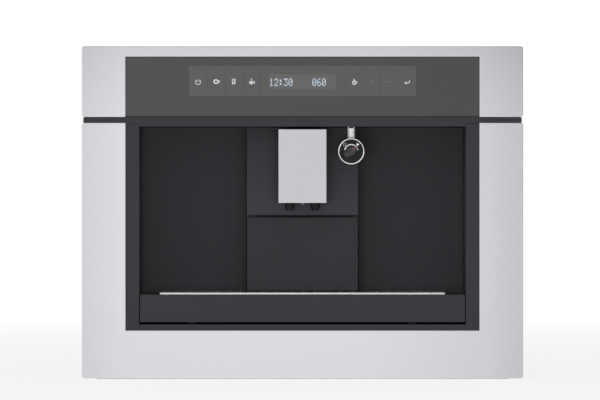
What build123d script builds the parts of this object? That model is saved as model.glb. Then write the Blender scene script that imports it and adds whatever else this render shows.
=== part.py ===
from build123d import *
import math
import os

# Built-in fully automatic coffee machine, 45 cm compact size, on a pull-out cabinet support.
# Millimetres. X to the right, Y into the cabinet, Z up. The origin is the centre of the
# footprint on the cabinet floor. "Depth" is measured backwards from the face of the fascia.

os.makedirs("parts", exist_ok=True)

# ---------------------------------------------------------------- driving dimensions
# Fascia
TOTAL_W = 595.0             # width of the fascia
TOTAL_D = 400.0             # face of the fascia to the back of the cabinet support
FASCIA_H = 448.0            # height of the fascia
FASCIA_LIFT = 2.0           # lower edge of the fascia above the cabinet floor
FASCIA_D = 21.0             # depth of the folded fascia
SHEET = 1.2                 # all folded sheet metal
STILE_W = 59.0              # stainless margin at each side
TOP_RAIL_H = 14.3           # stainless margin over the control glass
BOTTOM_RAIL_H = 64.7        # stainless margin under the niche
GROOVE_UP = 344.8           # lower edge of the shadow groove above the fascia's lower edge
GROOVE_H = 7.6              # height of the shadow groove
CORNER_R = 3.4              # outer corners of the fascia
EDGE_R = 1.0                # rolled front edges of the fascia
FIT = 0.3                   # clearance round what is let into the fascia and the niche

# Control panel
GLASS_T = 4.0
GLASS_LAP = 1.5             # glass stands this far above the groove's upper edge
GLASS_BEVEL = 0.5
CARRIER_WALL = 2.0
TOUCH_W = 306.0             # touch field and board
TOUCH_H = 41.0
TOUCH_DOWN = 11.8           # top of the touch field under the glass's upper edge
DISPLAY_W = 91.0
DISPLAY_H = 19.4
BOARD_T = 1.6

# Niche
NICHE_W = 441.0
NICHE_D = 103.0             # face of the fascia to the sheet behind the niche
CHEEK_WALL = 2.5
MOULD_SET = 2.0             # dark mouldings stand this far behind the fascia's face
BEAM_SIDE_SET = 1.7         # beam in the groove ends this far inside the fascia's sides
BEAM_D = 18.0               # depth of the beam's front part
STRIP_DROP = 1.3            # niche's side strips end this far under the groove
CEILING_DROP = 12.6         # niche ceiling under the groove's upper edge
CEILING_T = 2.5
SILL_H = 7.9                # dark strip under the drip tray
SILL_T = 2.4
BACK_T = 2.4                # niche back panels
JOINT_GAP = 1.5             # open joints beside the column

# Column, spout and its guides
COLUMN_W = 152.0
COLUMN_D = 55.0             # face of the fascia to the column's face
COLUMN_UP = 222.0           # lower edge of the column cover above the cabinet floor
COLUMN_WALL = 2.5
APRON_H = 6.0               # rear lip of the column cover below its edge
SPOUT_W = 65.2
SPOUT_H = 100.1
SPOUT_SET = 5.0             # steel spout cover behind the fascia's face
SPOUT_GAP = 3.3             # spout cover under the niche ceiling
SPOUT_RETURN = 33.0         # depth of the cover's folded sides
SPOUT_TRAVEL = 38.0
NOZZLE_PITCH = 34.4
NOZZLE_R = 6.6
NOZZLE_TIP_R = 4.6
NOZZLE_BORE_R = 2.4
NOZZLE_H = 10.9
NOZZLE_DEPTH = 24.0
LENS_R = 2.4
LENS_H = 3.0
TONGUE_W = 17.0
TONGUE_H = 32.0
SLIDER_W = 62.0
SLIDER_D = 20.0
GUIDE_R = 2.5
GUIDE_PITCH = 48.0
GUIDE_DEPTH = 70.0
SLIDE_FIT = 0.06            # radial clearance of the slider on its guides
RUN = 0.3                   # gap between faces that run past each other

# Steam outlet
STEAM_X = 66.0
STEAM_DEPTH = 30.0
STEAM_Z = 308.5
STEM_R = 5.0
STEM_ABOVE = 8.0            # stem above the ceiling plate
STEM_COLLAR = 2.5           # collar on the ceiling plate, wider than the stem
STEM_COLLAR_T = 3.0
DRUM_R = 16.6
RING_R = 17.9
RING_WALL = 2.2
RING_FRONT = 12.0           # depth of the chrome ring's front edge
RING_T = 5.0
DRUM_BACK = 44.0
DIAL_T = 2.0
DIAL_SET = 1.6              # dial's face behind the ring's edge
KNOB_R = 6.0
KNOB_T = 5.0
KNOB_BAR_L = 20.0
KNOB_BAR_W = 8.4
KNOB_BAR_OFF = 1.2          # bar's middle beyond the axis, towards its tail
KNOB_ANGLE = 35.0           # the index end of the bar above the horizontal, at rest

# Drip tray and cup grille
TRAY_W = 438.8
TRAY_UP = 77.7
TRAY_H = 37.3
TRAY_D = 96.0
TRAY_SET = 1.0
TRAY_WALL = 2.4
TRAY_POOL_W = 372.0
TRAY_POOL_FRONT = 9.0
TRAY_RUNNER_W = 10.0
TRAY_RUNNER_FRONT = 34.0    # runners start this far behind the fascia's face
TRAY_RUNNER_PITCH = 300.0
GRILLE_W = 387.2
GRILLE_SET = 7.0
GRILLE_D = 89.0
GRILLE_H = 2.6
GRILLE_T = 1.0
GRILLE_SLOTS = 21
GRILLE_SLOT_W = 7.0
GRILLE_SLOT_PITCH = 17.0
GRILLE_MIDDLE_SLOTS = 9     # shorter slots in front of the column
GRILLE_MARGIN = 11.5        # sheet left round the slots, front and back
GRILLE_CLEAR = 2.0          # rear notch's edge in front of the grounds container

# Grounds container
BIN_FRONT_H = 100.2
BIN_FRONT_UP = 118.7
BIN_FRONT_SET = 57.0
BIN_FRONT_T = 3.0
BIN_W = 140.0
BIN_D = 190.0
BIN_H = 86.0
BIN_WALL = 2.2
BAY_WALL = 2.0
BAY_MARGIN = 2.0
BAY_SIDE_H = 60.0

# Chassis
CHASSIS_W = 528.0
CHASSIS_UP = 10.0
CHASSIS_H = 426.0
CHASSIS_BACK = 393.0        # depth of the rear panel's outer face
PAN_H = 14.0
FLANGE = 12.0
FRAME_OVER = 24.0           # front frame beyond the chassis at each side
FRAME_MARGIN = 4.0          # front frame inside the fascia's edge, at top and bottom
VENT_W = 46.0
VENT_H = 4.0
VENT_PITCH_X = 60.0
VENT_PITCH_Z = 11.0
VENT_ROWS = 8
SIDE_VENT_AT = 0.7          # side vents' middle, as a share of the depth
REAR_VENT_AT = 0.6          # rear vents' middle, as a share of the chassis height

# Cabinet support and telescopic rails
SUPPORT_W = 558.0
SUPPORT_T = 2.0
SUPPORT_FRONT = 30.0
SUPPORT_FLANGE_H = 62.0
SUPPORT_STRIP = 44.0
SUPPORT_BAR = 40.0
FLOOR_HOLE_R = 2.25
FLOOR_HOLE_X = 510.0
FLOOR_HOLE_Y = 310.0
RAIL_L = 350.0
RAIL_FRONT = 38.0
RAIL_Z = 36.0
RAIL_H = 45.0
RAIL_T = 1.5
RAIL_FLANGE = 10.5

# Screws
SCREW_R = 2.0
SCREW_HEAD_R = 3.6
SCREW_HEAD_T = 2.2
SCREW_L = 6.0
SCREW_HOLE = 0.05
TOP_SCREW_PITCH = 150.0
RAIL_SCREW_PITCH = 130.0
REAR_SCREW_PITCH = 300.0

# Brew unit
BREW_X = -15.0
BREW_DEPTH = 175.0
BREW_UP = 222.0
BREW_W = 124.0
BREW_D = 142.0
BREW_H = 90.0
BREW_WALL = 2.5
CHAMBER_R = 24.0
CHAMBER_BORE_R = 21.0
CHAMBER_H = 47.0
PISTON_H = 10.0
PISTON_IN = 4.0             # piston above the chamber's lower edge at the bottom of its travel
PISTON_ROD_R = 6.0
CROSSHEAD_H = 8.0
CROSSHEAD_UP = 5.0
SPINDLE_X = 38.0
SPINDLE_R = 4.0
BREW_MOTOR_R = 17.0
BREW_MOTOR_H = 38.0
SPINDLE_IN_MOTOR = 12.0
BREW_PORT_R = 5.0
BREW_PORT_X = 12.0
BREW_PORT_OFF = 17.0
BREW_PORT_Z = 290.0

# Grinder, hopper and powder funnel
GRIND_X = 30.0
GRIND_DEPTH = 318.0
GRIND_UP = 290.0
GRIND_H = 55.0
GRIND_R = 38.0
GRIND_CAVITY_R = 30.0
GRIND_FLOOR = 6.0
GRIND_TOP = 5.0
THROAT_R = 26.0
GRIND_MOTOR_R = 30.0
GRIND_MOTOR_H = 58.0
SHAFT_R = 5.0
BURR_R = 25.0
BURR_TOP_R = 9.0
BURR_H = 20.0
BURR_GAP = 4.0              # burr above the floor of the grinder
BURR_TEETH = 12
CHUTE_W = 24.0
CHUTE_H = 18.0
CHUTE_UP = 25.0
CHUTE_WALL = 2.0
HOPPER_W = 160.0
HOPPER_X = 35.0
HOPPER_FRONT = 240.0
HOPPER_D = 146.0
HOPPER_RIM_H = 50.0
HOPPER_WALL = 2.2
FUNNEL_W = 64.0
FUNNEL_D = 50.0
FUNNEL_RIM_H = 40.0
FUNNEL_NECK_H = 35.0
FUNNEL_NECK_R = 21.0
FUNNEL_WALL = 2.0
GRIND_KNOB_X = 150.0
GRIND_KNOB_DEPTH = 300.0
GRIND_KNOB_R = 14.0
GRIND_KNOB_H = 9.0
GRIND_KNOB_SHAFT = 40.0
GRIND_KNOB_RIBS = 18

# Lids
LID_T = 3.0
LID_LAP = 5.0
LID_BARREL_R = 3.0
LID_PIN_R = 1.5
LID_LUG_W = 5.0
LID_RISE = 3.6              # hinge axis above the top cover

# Water tank and its well
TANK_IN = 12.8              # tank from the inside of the left panel
TANK_W = 110.0
TANK_FRONT = 250.0
TANK_D = 130.0
TANK_UP = 188.4
TANK_H = 242.0
TANK_WALL = 2.5
TANK_R = 10.0
WELL_GAP = 2.0
WELL_WALL = 2.2
WELL_FLOOR_UP = 186.0
WELL_TOP = 330.0
SPIGOT_R = 8.0
SPIGOT_H = 9.0

# Pump, boiler, board, hoses
PUMP_X = -195.0
PUMP_Z = 60.0
PUMP_FRONT = 140.0
PUMP_L = 80.0
PUMP_R = 19.0
PUMP_COIL = 46.0
PUMP_COIL_L = 42.0
PUMP_PORT_R = 4.0
PUMP_PORT_L = 10.0
BOILER_X = 195.0
BOILER_DEPTH = 320.0
BOILER_R = 42.0
BOILER_H = 90.0
BOILER_UP = 40.0
BOILER_PORT_X = 20.0
BOARD_X = 250.0
BOARD_FRONT = 130.0
BOARD_L = 160.0
BOARD_UP = 170.0
BOARD_H = 200.0
CAP_R = 9.0
CAP_H = 22.0
CAP_ALONG = 130.0
CAP_UP = 100.0
CAP_PITCH = 30.0
HOSE_R = 3.0
HOSE_BEND = 8.0
HOSE_OFF = 10.0             # pressure hose behind the bulkhead
HOSE_TOP_Z = 372.0

# Mains inlet and switch, at the rear
INLET_X = 200.0
INLET_Z = 60.0
INLET_W = 62.0
INLET_H = 28.0
INLET_BODY_D = 22.0
INLET_FLANGE_T = 2.5
INLET_WALL = 1.5
SOCKET_W = 24.0
SOCKET_H = 16.5
SOCKET_D = 17.0
BLADE_W = 4.0
BLADE_T = 2.0
BLADE_PITCH = 7.0
ROCKER_W = 13.0
ROCKER_H = 19.0
ROCKER_T = 8.0
ROCKER_PIVOT_R = 1.5
ROCKER_PIVOT_L = 2.0
ROCKER_DISH = 1.2           # rocker's ends stand this far out of the flange

# ---------------------------------------------------------------- shared places
FRONT = -TOTAL_D / 2
HALF_W = TOTAL_W / 2
FASCIA_TOP = FASCIA_LIFT + FASCIA_H
OPENING_X = HALF_W - STILE_W
GROOVE_LOW = FASCIA_LIFT + GROOVE_UP
GROOVE_TOP = GROOVE_LOW + GROOVE_H
SILL_LOW = FASCIA_LIFT + BOTTOM_RAIL_H
SILL_TOP = SILL_LOW + SILL_H
GLASS_LOW = GROOVE_TOP + GLASS_LAP
GLASS_TOP = FASCIA_TOP - TOP_RAIL_H
CEILING_Z = GROOVE_TOP - CEILING_DROP
NICHE_X = NICHE_W / 2
CHASSIS_X = CHASSIS_W / 2
CHASSIS_FRONT = FASCIA_D + SHEET
CHASSIS_TOP = CHASSIS_UP + CHASSIS_H
COVER_TOP = CHASSIS_TOP + SHEET
PAN_FLOOR = CHASSIS_UP + SHEET
COLUMN_X = COLUMN_W / 2
SPOUT_TOP = CEILING_Z - SPOUT_GAP
SPOUT_LOW = SPOUT_TOP - SPOUT_H
SPOUT_BACK = COLUMN_D - RUN
TONGUE_MID = SPOUT_TOP - SPOUT_H / 3
BIN_X = BIN_W / 2
BIN_BACK = BIN_FRONT_SET + BIN_FRONT_T + BIN_D
BAY_FLOOR = BIN_FRONT_UP - RUN
BREW_TOP = BREW_UP + BREW_H
HOPPER_LOW = GRIND_UP + GRIND_H
SIDE_INNER = CHASSIS_X - SHEET
TANK_X = TANK_IN + TANK_W / 2 - SIDE_INNER
TANK_TOP = TANK_UP + TANK_H
BULKHEAD_BACK = NICHE_D + SHEET
SIDES = (-1, 1)


def facing(depth):
    """The plane parallel to the fascia at this depth, its normal towards the user."""
    return Plane.XZ.offset(-(FRONT + depth))


def at_height(z):
    """The horizontal plane at this height."""
    return Plane.XY.offset(z)


def block(x0, x1, d0, d1, z0, z1, mode=Mode.ADD):
    """A rectangular block between two places in x, two depths and two heights."""
    with Locations(((x0 + x1) / 2, FRONT + (d0 + d1) / 2, (z0 + z1) / 2)):
        Box(x1 - x0, d1 - d0, z1 - z0, mode=mode)


def upright(x, depth, z0, z1, radius, mode=Mode.ADD):
    """A round bar or bore along Z between two heights."""
    with Locations((x, FRONT + depth, (z0 + z1) / 2)):
        Cylinder(radius, z1 - z0, mode=mode)


def level(x, z, d0, d1, radius, mode=Mode.ADD):
    """A round bar or bore along Y between two depths."""
    with Locations(Location((x, FRONT + (d0 + d1) / 2, z), (90, 0, 0))):
        Cylinder(radius, d1 - d0, mode=mode)


def across(x0, x1, depth, z, radius, mode=Mode.ADD):
    """A round bar or bore along X between two places in x."""
    with Locations(Location(((x0 + x1) / 2, FRONT + depth, z), (0, 90, 0))):
        Cylinder(radius, x1 - x0, mode=mode)


def both_sides(points):
    """An outline given for the right half, closed by its mirror image."""
    return points + [(-x, z) for x, z in reversed(points)]


def save(part, name):
    """Label a finished piece and write it."""
    part.label = name
    export_step(part, "parts/" + name + ".step")


# ---------------------------------------------------------------- fascia
# Both halves are folded trays of sheet: a face with its edges turned back.
with BuildPart() as fascia_upper:
    with BuildSketch(facing(FASCIA_D)) as upper_face:
        Polygon(*both_sides([
            (OPENING_X, GLASS_TOP),
            (OPENING_X, GROOVE_TOP),
            (HALF_W, GROOVE_TOP),
            (HALF_W, FASCIA_TOP),
        ]), align=None)
        fillet(upper_face.vertices().group_by(Axis.X)[0], CORNER_R)
        fillet(upper_face.vertices().group_by(Axis.X)[-1], CORNER_R)
    extrude(amount=FASCIA_D)
    fillet(fascia_upper.faces().sort_by(Axis.Y)[0].edges(), EDGE_R)
    with BuildSketch(facing(FASCIA_D)):
        add(upper_face.sketch_local)
        offset(amount=-SHEET, mode=Mode.REPLACE)
    extrude(amount=FASCIA_D - SHEET, mode=Mode.SUBTRACT)
save(fascia_upper.part, "fascia_upper")

with BuildPart() as fascia_lower:
    with BuildSketch(facing(FASCIA_D)) as lower_face:
        Polygon(*both_sides([
            (OPENING_X, SILL_LOW),
            (OPENING_X, GROOVE_LOW),
            (HALF_W, GROOVE_LOW),
            (HALF_W, FASCIA_LIFT),
        ]), align=None)
        fillet(lower_face.vertices().group_by(Axis.X)[0], CORNER_R)
        fillet(lower_face.vertices().group_by(Axis.X)[-1], CORNER_R)
    extrude(amount=FASCIA_D)
    fillet(fascia_lower.faces().sort_by(Axis.Y)[0].edges(), EDGE_R)
    with BuildSketch(facing(FASCIA_D)):
        add(lower_face.sketch_local)
        offset(amount=-SHEET, mode=Mode.REPLACE)
    extrude(amount=FASCIA_D - SHEET, mode=Mode.SUBTRACT)
save(fascia_lower.part, "fascia_lower")

# ---------------------------------------------------------------- control panel
with BuildPart() as control_glass:
    block(-OPENING_X + FIT, OPENING_X - FIT, 0, GLASS_T, GLASS_LOW, GLASS_TOP - FIT)
    chamfer(control_glass.faces().sort_by(Axis.Y)[0].edges(), GLASS_BEVEL)
save(control_glass.part, "control_glass")

CARRIER_LOW = GLASS_LOW + FIT
CARRIER_BACK = FASCIA_D - RUN
TOUCH_TOP = GLASS_TOP - TOUCH_DOWN
TOUCH_MID = TOUCH_TOP - TOUCH_H / 2

with BuildPart() as panel_carrier:
    block(-OPENING_X + FIT, OPENING_X - FIT, GLASS_T, CARRIER_BACK, CARRIER_LOW, GLASS_TOP - FIT)
    block(
        -OPENING_X + FIT + CARRIER_WALL,
        OPENING_X - FIT - CARRIER_WALL,
        GLASS_T + CARRIER_WALL,
        CARRIER_BACK,
        CARRIER_LOW + CARRIER_WALL,
        GLASS_TOP - FIT - CARRIER_WALL,
        Mode.SUBTRACT,
    )
    block(
        -DISPLAY_W / 2 - FIT,
        DISPLAY_W / 2 + FIT,
        GLASS_T,
        GLASS_T + CARRIER_WALL,
        TOUCH_MID - DISPLAY_H / 2 - FIT,
        TOUCH_MID + DISPLAY_H / 2 + FIT,
        Mode.SUBTRACT,
    )
save(panel_carrier.part, "panel_carrier")

BOARD_FACE = GLASS_T + CARRIER_WALL
with BuildPart() as display_board:
    block(
        -TOUCH_W / 2,
        TOUCH_W / 2,
        BOARD_FACE,
        BOARD_FACE + BOARD_T,
        TOUCH_MID - TOUCH_H / 2,
        TOUCH_MID + TOUCH_H / 2,
    )
    block(
        -DISPLAY_W / 2,
        DISPLAY_W / 2,
        GLASS_T + FIT,
        BOARD_FACE,
        TOUCH_MID - DISPLAY_H / 2,
        TOUCH_MID + DISPLAY_H / 2,
    )
save(display_board.part, "display_board")

# ---------------------------------------------------------------- niche mouldings
BEAM_X = HALF_W - BEAM_SIDE_SET
BEAM_BACK = MOULD_SET + BEAM_D
STRIP_TOP = GROOVE_LOW - STRIP_DROP
CEILING_X = NICHE_X - FIT

with BuildPart() as groove_beam:
    with BuildSketch(facing(BEAM_BACK)):
        Polygon(*both_sides([
            (CEILING_X, CEILING_Z),
            (CEILING_X, STRIP_TOP + FIT),
            (OPENING_X - FIT, STRIP_TOP + FIT),
            (OPENING_X - FIT, GROOVE_LOW + FIT),
            (BEAM_X, GROOVE_LOW + FIT),
            (BEAM_X, GROOVE_TOP - FIT),
            (OPENING_X - FIT, GROOVE_TOP - FIT),
            (OPENING_X - FIT, GLASS_LOW - FIT),
        ]), align=None)
    extrude(amount=BEAM_D)
    block(
        -OPENING_X + STILE_W,
        OPENING_X - STILE_W,
        MOULD_SET + CHEEK_WALL,
        BEAM_BACK,
        CEILING_Z + CEILING_T,
        GLASS_LOW - FIT - CHEEK_WALL,
        Mode.SUBTRACT,
    )
    block(-CEILING_X, CEILING_X, BEAM_BACK, NICHE_D - RUN, CEILING_Z, CEILING_Z + CEILING_T)
    upright(STEAM_X, STEAM_DEPTH, CEILING_Z, CEILING_Z + CEILING_T, STEM_R + FIT, Mode.SUBTRACT)
save(groove_beam.part, "groove_beam")

with BuildPart() as niche_cheeks:
    for side in SIDES:
        with BuildSketch(at_height(SILL_LOW + FIT)):
            Polygon(
                (side * NICHE_X, FRONT + MOULD_SET),
                (side * (OPENING_X - FIT), FRONT + MOULD_SET),
                (side * (OPENING_X - FIT), FRONT + MOULD_SET + CHEEK_WALL),
                (side * (NICHE_X + CHEEK_WALL), FRONT + MOULD_SET + CHEEK_WALL),
                (side * (NICHE_X + CHEEK_WALL), FRONT + NICHE_D - RUN),
                (side * NICHE_X, FRONT + NICHE_D - RUN),
                align=None,
            )
        extrude(amount=STRIP_TOP - SILL_LOW - FIT)
save(niche_cheeks.part, "niche_cheeks")

with BuildPart() as niche_sill:
    block(
        -CEILING_X, CEILING_X, MOULD_SET, MOULD_SET + CHEEK_WALL, SILL_LOW + FIT, SILL_TOP
    )
    block(-CEILING_X, CEILING_X, MOULD_SET, NICHE_D - RUN, SILL_TOP - SILL_T, SILL_TOP)
    for side in SIDES:
        middle = side * TRAY_RUNNER_PITCH / 2
        block(
            middle - TRAY_RUNNER_W / 2,
            middle + TRAY_RUNNER_W / 2,
            TRAY_RUNNER_FRONT,
            NICHE_D - RUN - BACK_T,
            SILL_TOP,
            TRAY_UP - RUN,
        )
save(niche_sill.part, "niche_sill")

with BuildPart() as niche_backs:
    for side in SIDES:
        inner = side * (COLUMN_X + JOINT_GAP)
        outer = side * CEILING_X
        block(
            min(inner, outer),
            max(inner, outer),
            NICHE_D - RUN - BACK_T,
            NICHE_D - RUN,
            SILL_TOP + FIT,
            CEILING_Z - FIT,
        )
    block(
        -COLUMN_X - JOINT_GAP,
        COLUMN_X + JOINT_GAP,
        NICHE_D - RUN - BACK_T,
        NICHE_D - RUN,
        SILL_TOP + FIT,
        BAY_FLOOR - BAY_WALL - FIT,
    )
save(niche_backs.part, "niche_backs")

# ---------------------------------------------------------------- column and spout
SLOT_TOP = TONGUE_MID + TONGUE_H / 2 + RUN
SLOT_LOW = TONGUE_MID - TONGUE_H / 2 - RUN - SPOUT_TRAVEL
with BuildPart() as column_cover:
    block(-COLUMN_X, COLUMN_X, COLUMN_D, NICHE_D, COLUMN_UP, CEILING_Z - FIT)
    chamfer(column_cover.faces().sort_by(Axis.Y)[0].edges(), EDGE_R / 2)
    block(
        -COLUMN_X,
        COLUMN_X,
        NICHE_D - COLUMN_WALL,
        NICHE_D,
        COLUMN_UP - APRON_H,
        COLUMN_UP + COLUMN_WALL,
    )
    block(
        -COLUMN_X + COLUMN_WALL,
        COLUMN_X - COLUMN_WALL,
        COLUMN_D + COLUMN_WALL,
        NICHE_D,
        COLUMN_UP + COLUMN_WALL,
        CEILING_Z - FIT - COLUMN_WALL,
        Mode.SUBTRACT,
    )
    block(
        -TONGUE_W / 2 - RUN,
        TONGUE_W / 2 + RUN,
        COLUMN_D,
        COLUMN_D + COLUMN_WALL,
        SLOT_LOW,
        SLOT_TOP,
        Mode.SUBTRACT,
    )
save(column_cover.part, "column_cover")

BRACKET_LOW = COLUMN_UP + 2 * COLUMN_WALL
BRACKET_TOP = CEILING_Z - FIT - 2 * COLUMN_WALL
BRACKET_FRONT = GUIDE_DEPTH - SLIDER_D / 2
BRACKET_X = GUIDE_PITCH / 2 + 4 * GUIDE_R
with BuildPart() as spout_bracket:
    block(-BRACKET_X, BRACKET_X, NICHE_D - SHEET, NICHE_D, BRACKET_LOW, BRACKET_TOP)
    block(-BRACKET_X, BRACKET_X, BRACKET_FRONT, NICHE_D, BRACKET_LOW, BRACKET_LOW + SHEET)
    block(-BRACKET_X, BRACKET_X, BRACKET_FRONT, NICHE_D, BRACKET_TOP - SHEET, BRACKET_TOP)
    for side in SIDES:
        upright(
            side * GUIDE_PITCH / 2,
            GUIDE_DEPTH,
            BRACKET_LOW,
            BRACKET_TOP,
            GUIDE_R + SCREW_HOLE,
            Mode.SUBTRACT,
        )
save(spout_bracket.part, "spout_bracket")

with BuildPart() as spout_guides:
    for side in SIDES:
        upright(
            side * GUIDE_PITCH / 2, GUIDE_DEPTH, BRACKET_LOW - SHEET, BRACKET_TOP + SHEET, GUIDE_R
        )
save(spout_guides.part, "spout_guides")

with BuildPart() as spout_slider:
    block(
        -SLIDER_W / 2,
        SLIDER_W / 2,
        BRACKET_FRONT,
        BRACKET_FRONT + SLIDER_D,
        TONGUE_MID - TONGUE_H / 2,
        TONGUE_MID + TONGUE_H / 2,
    )
    block(
        -TONGUE_W / 2,
        TONGUE_W / 2,
        SPOUT_BACK,
        BRACKET_FRONT,
        TONGUE_MID - TONGUE_H / 2,
        TONGUE_MID + TONGUE_H / 2,
    )
    for side in SIDES:
        upright(
            side * GUIDE_PITCH / 2,
            GUIDE_DEPTH,
            TONGUE_MID - TONGUE_H,
            TONGUE_MID + TONGUE_H,
            GUIDE_R + SLIDE_FIT,
            Mode.SUBTRACT,
        )
save(spout_slider.part, "spout_slider")

SPOUT_X = SPOUT_W / 2
BODY_LOW = SPOUT_LOW + SHEET
with BuildPart() as spout_cover:
    block(-SPOUT_X, SPOUT_X, SPOUT_SET, SPOUT_SET + SPOUT_RETURN, SPOUT_LOW, SPOUT_TOP)
    fillet(spout_cover.faces().sort_by(Axis.Y)[0].edges(), EDGE_R)
    block(
        -SPOUT_X + SHEET,
        SPOUT_X - SHEET,
        SPOUT_SET + SHEET,
        SPOUT_SET + SPOUT_RETURN,
        SPOUT_LOW,
        SPOUT_TOP - SHEET,
        Mode.SUBTRACT,
    )
save(spout_cover.part, "spout_cover")

BODY_X = SPOUT_X - SHEET - FIT
with BuildPart() as spout_body:
    with BuildSketch(Plane.YZ.offset(-BODY_X)):
        Polygon(
            (FRONT + SPOUT_SET + SHEET + FIT, BODY_LOW),
            (FRONT + NOZZLE_DEPTH + 3 * NOZZLE_R, BODY_LOW),
            (FRONT + SPOUT_BACK, TONGUE_MID - TONGUE_H / 2),
            (FRONT + SPOUT_BACK, SPOUT_TOP - SHEET - FIT),
            (FRONT + SPOUT_SET + SHEET + FIT, SPOUT_TOP - SHEET - FIT),
            align=None,
        )
    extrude(amount=2 * BODY_X)
    fillet(spout_body.edges().filter_by(Axis.Z), EDGE_R)
    for side in SIDES:
        upright(
            side * NOZZLE_PITCH / 2,
            NOZZLE_DEPTH,
            BODY_LOW,
            BODY_LOW + 4 * NOZZLE_R,
            NOZZLE_BORE_R,
            Mode.SUBTRACT,
        )
save(spout_body.part, "spout_body")

# Each nozzle is turned: a cylinder that draws in to its tip, with a drilled outlet.
with BuildPart() as spout_nozzles:
    for side in SIDES:
        top = Vector(side * NOZZLE_PITCH / 2, FRONT + NOZZLE_DEPTH, BODY_LOW)
        with BuildSketch(Plane(origin=top, x_dir=(1, 0, 0), z_dir=(0, -1, 0))):
            Polygon(
                (NOZZLE_BORE_R, 0),
                (NOZZLE_R, 0),
                (NOZZLE_R, -NOZZLE_H / 3),
                (NOZZLE_TIP_R, -NOZZLE_H),
                (NOZZLE_BORE_R, -NOZZLE_H),
                align=None,
            )
        revolve(axis=Axis(top, (0, 0, 1)))
save(spout_nozzles.part, "spout_nozzles")

# The cup light's lens hangs from the body's underside, between the nozzles.
with BuildPart() as cup_light:
    upright(0, SPOUT_SET + 4 * LENS_R, BODY_LOW - LENS_H, BODY_LOW, LENS_R)
    fillet(cup_light.faces().sort_by(Axis.Z)[0].edges(), LENS_R / 3)
save(cup_light.part, "cup_light")

# ---------------------------------------------------------------- steam outlet
STEM_LOW = STEAM_Z + DRUM_R / 2
with BuildPart() as steam_stem:
    upright(STEAM_X, STEAM_DEPTH, STEM_LOW, CEILING_Z + STEM_ABOVE, STEM_R)
    upright(
        STEAM_X,
        STEAM_DEPTH,
        CEILING_Z + CEILING_T,
        CEILING_Z + CEILING_T + STEM_COLLAR_T,
        STEM_R + STEM_COLLAR,
    )
    upright(STEAM_X, STEAM_DEPTH, STEM_LOW, CEILING_Z + STEM_ABOVE, HOSE_R, Mode.SUBTRACT)
save(steam_stem.part, "steam_stem")

RING_BACK = RING_FRONT + RING_T
DIAL_FACE = RING_FRONT + DIAL_SET
with BuildPart() as steam_drum:
    level(STEAM_X, STEAM_Z, RING_BACK, DRUM_BACK, DRUM_R)
    fillet(steam_drum.faces().sort_by(Axis.Y)[-1].edges(), DRUM_R / 6)
    level(STEAM_X, STEAM_Z, DIAL_FACE + DIAL_T, RING_BACK, RING_R - RING_WALL - RUN / 3)
    upright(STEAM_X, STEAM_DEPTH, STEM_LOW - RUN, STEAM_Z + 2 * DRUM_R, STEM_R + FIT, Mode.SUBTRACT)
    upright(STEAM_X, STEAM_DEPTH, STEAM_Z - 2 * DRUM_R, STEM_LOW, NOZZLE_BORE_R, Mode.SUBTRACT)
    level(STEAM_X, STEAM_Z, DIAL_FACE, RING_BACK + DIAL_T, SCREW_R + FIT, Mode.SUBTRACT)
save(steam_drum.part, "steam_drum")

with BuildPart() as steam_ring:
    level(STEAM_X, STEAM_Z, RING_FRONT, RING_BACK, RING_R)
    level(STEAM_X, STEAM_Z, RING_FRONT, RING_BACK, RING_R - RING_WALL, Mode.SUBTRACT)
    fillet(steam_ring.faces().sort_by(Axis.Y)[0].edges(), RING_WALL / 3)
save(steam_ring.part, "steam_ring")

with BuildPart() as steam_dial:
    level(STEAM_X, STEAM_Z, DIAL_FACE, DIAL_FACE + DIAL_T, RING_R - RING_WALL - RUN / 3)
    level(STEAM_X, STEAM_Z, DIAL_FACE, DIAL_FACE + DIAL_T, SCREW_R + FIT, Mode.SUBTRACT)
save(steam_dial.part, "steam_dial")

# The knob is a bar across a round hub. Its index end points up and to the right at rest.
KNOB_BACK = DIAL_FACE - FIT
knob_plane = facing(KNOB_BACK) * Location((STEAM_X, STEAM_Z, 0), (0, 0, KNOB_ANGLE))
with BuildPart() as steam_knob:
    with BuildSketch(knob_plane):
        Circle(KNOB_R)
        with Locations((-KNOB_BAR_OFF, 0)):
            SlotOverall(KNOB_BAR_L, KNOB_BAR_W)
    extrude(amount=KNOB_T)
    chamfer(steam_knob.faces().sort_by(Axis.Y)[0].edges(), KNOB_T / 10)
    level(STEAM_X, STEAM_Z, KNOB_BACK, RING_BACK + DIAL_T - RUN, SCREW_R)
save(steam_knob.part, "steam_knob")

# ---------------------------------------------------------------- drip tray and grille
TRAY_X = TRAY_W / 2
TRAY_TOP = TRAY_UP + TRAY_H
TRAY_BACK = TRAY_SET + TRAY_D
POOL_X = TRAY_POOL_W / 2
with BuildPart() as drip_tray:
    block(-TRAY_X, TRAY_X, TRAY_SET, TRAY_BACK, TRAY_UP, TRAY_TOP)
    chamfer(drip_tray.faces().sort_by(Axis.Y)[0].edges(), EDGE_R)
    block(
        -POOL_X,
        POOL_X,
        TRAY_POOL_FRONT,
        TRAY_BACK - TRAY_WALL,
        TRAY_UP + TRAY_WALL,
        TRAY_TOP,
        Mode.SUBTRACT,
    )
    for side in SIDES:
        near = side * (POOL_X + TRAY_WALL)
        far = side * (TRAY_X - TRAY_WALL)
        block(
            min(near, far),
            max(near, far),
            TRAY_POOL_FRONT,
            TRAY_BACK - TRAY_WALL,
            TRAY_UP,
            TRAY_TOP - TRAY_WALL,
            Mode.SUBTRACT,
        )
save(drip_tray.part, "drip_tray")

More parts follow.
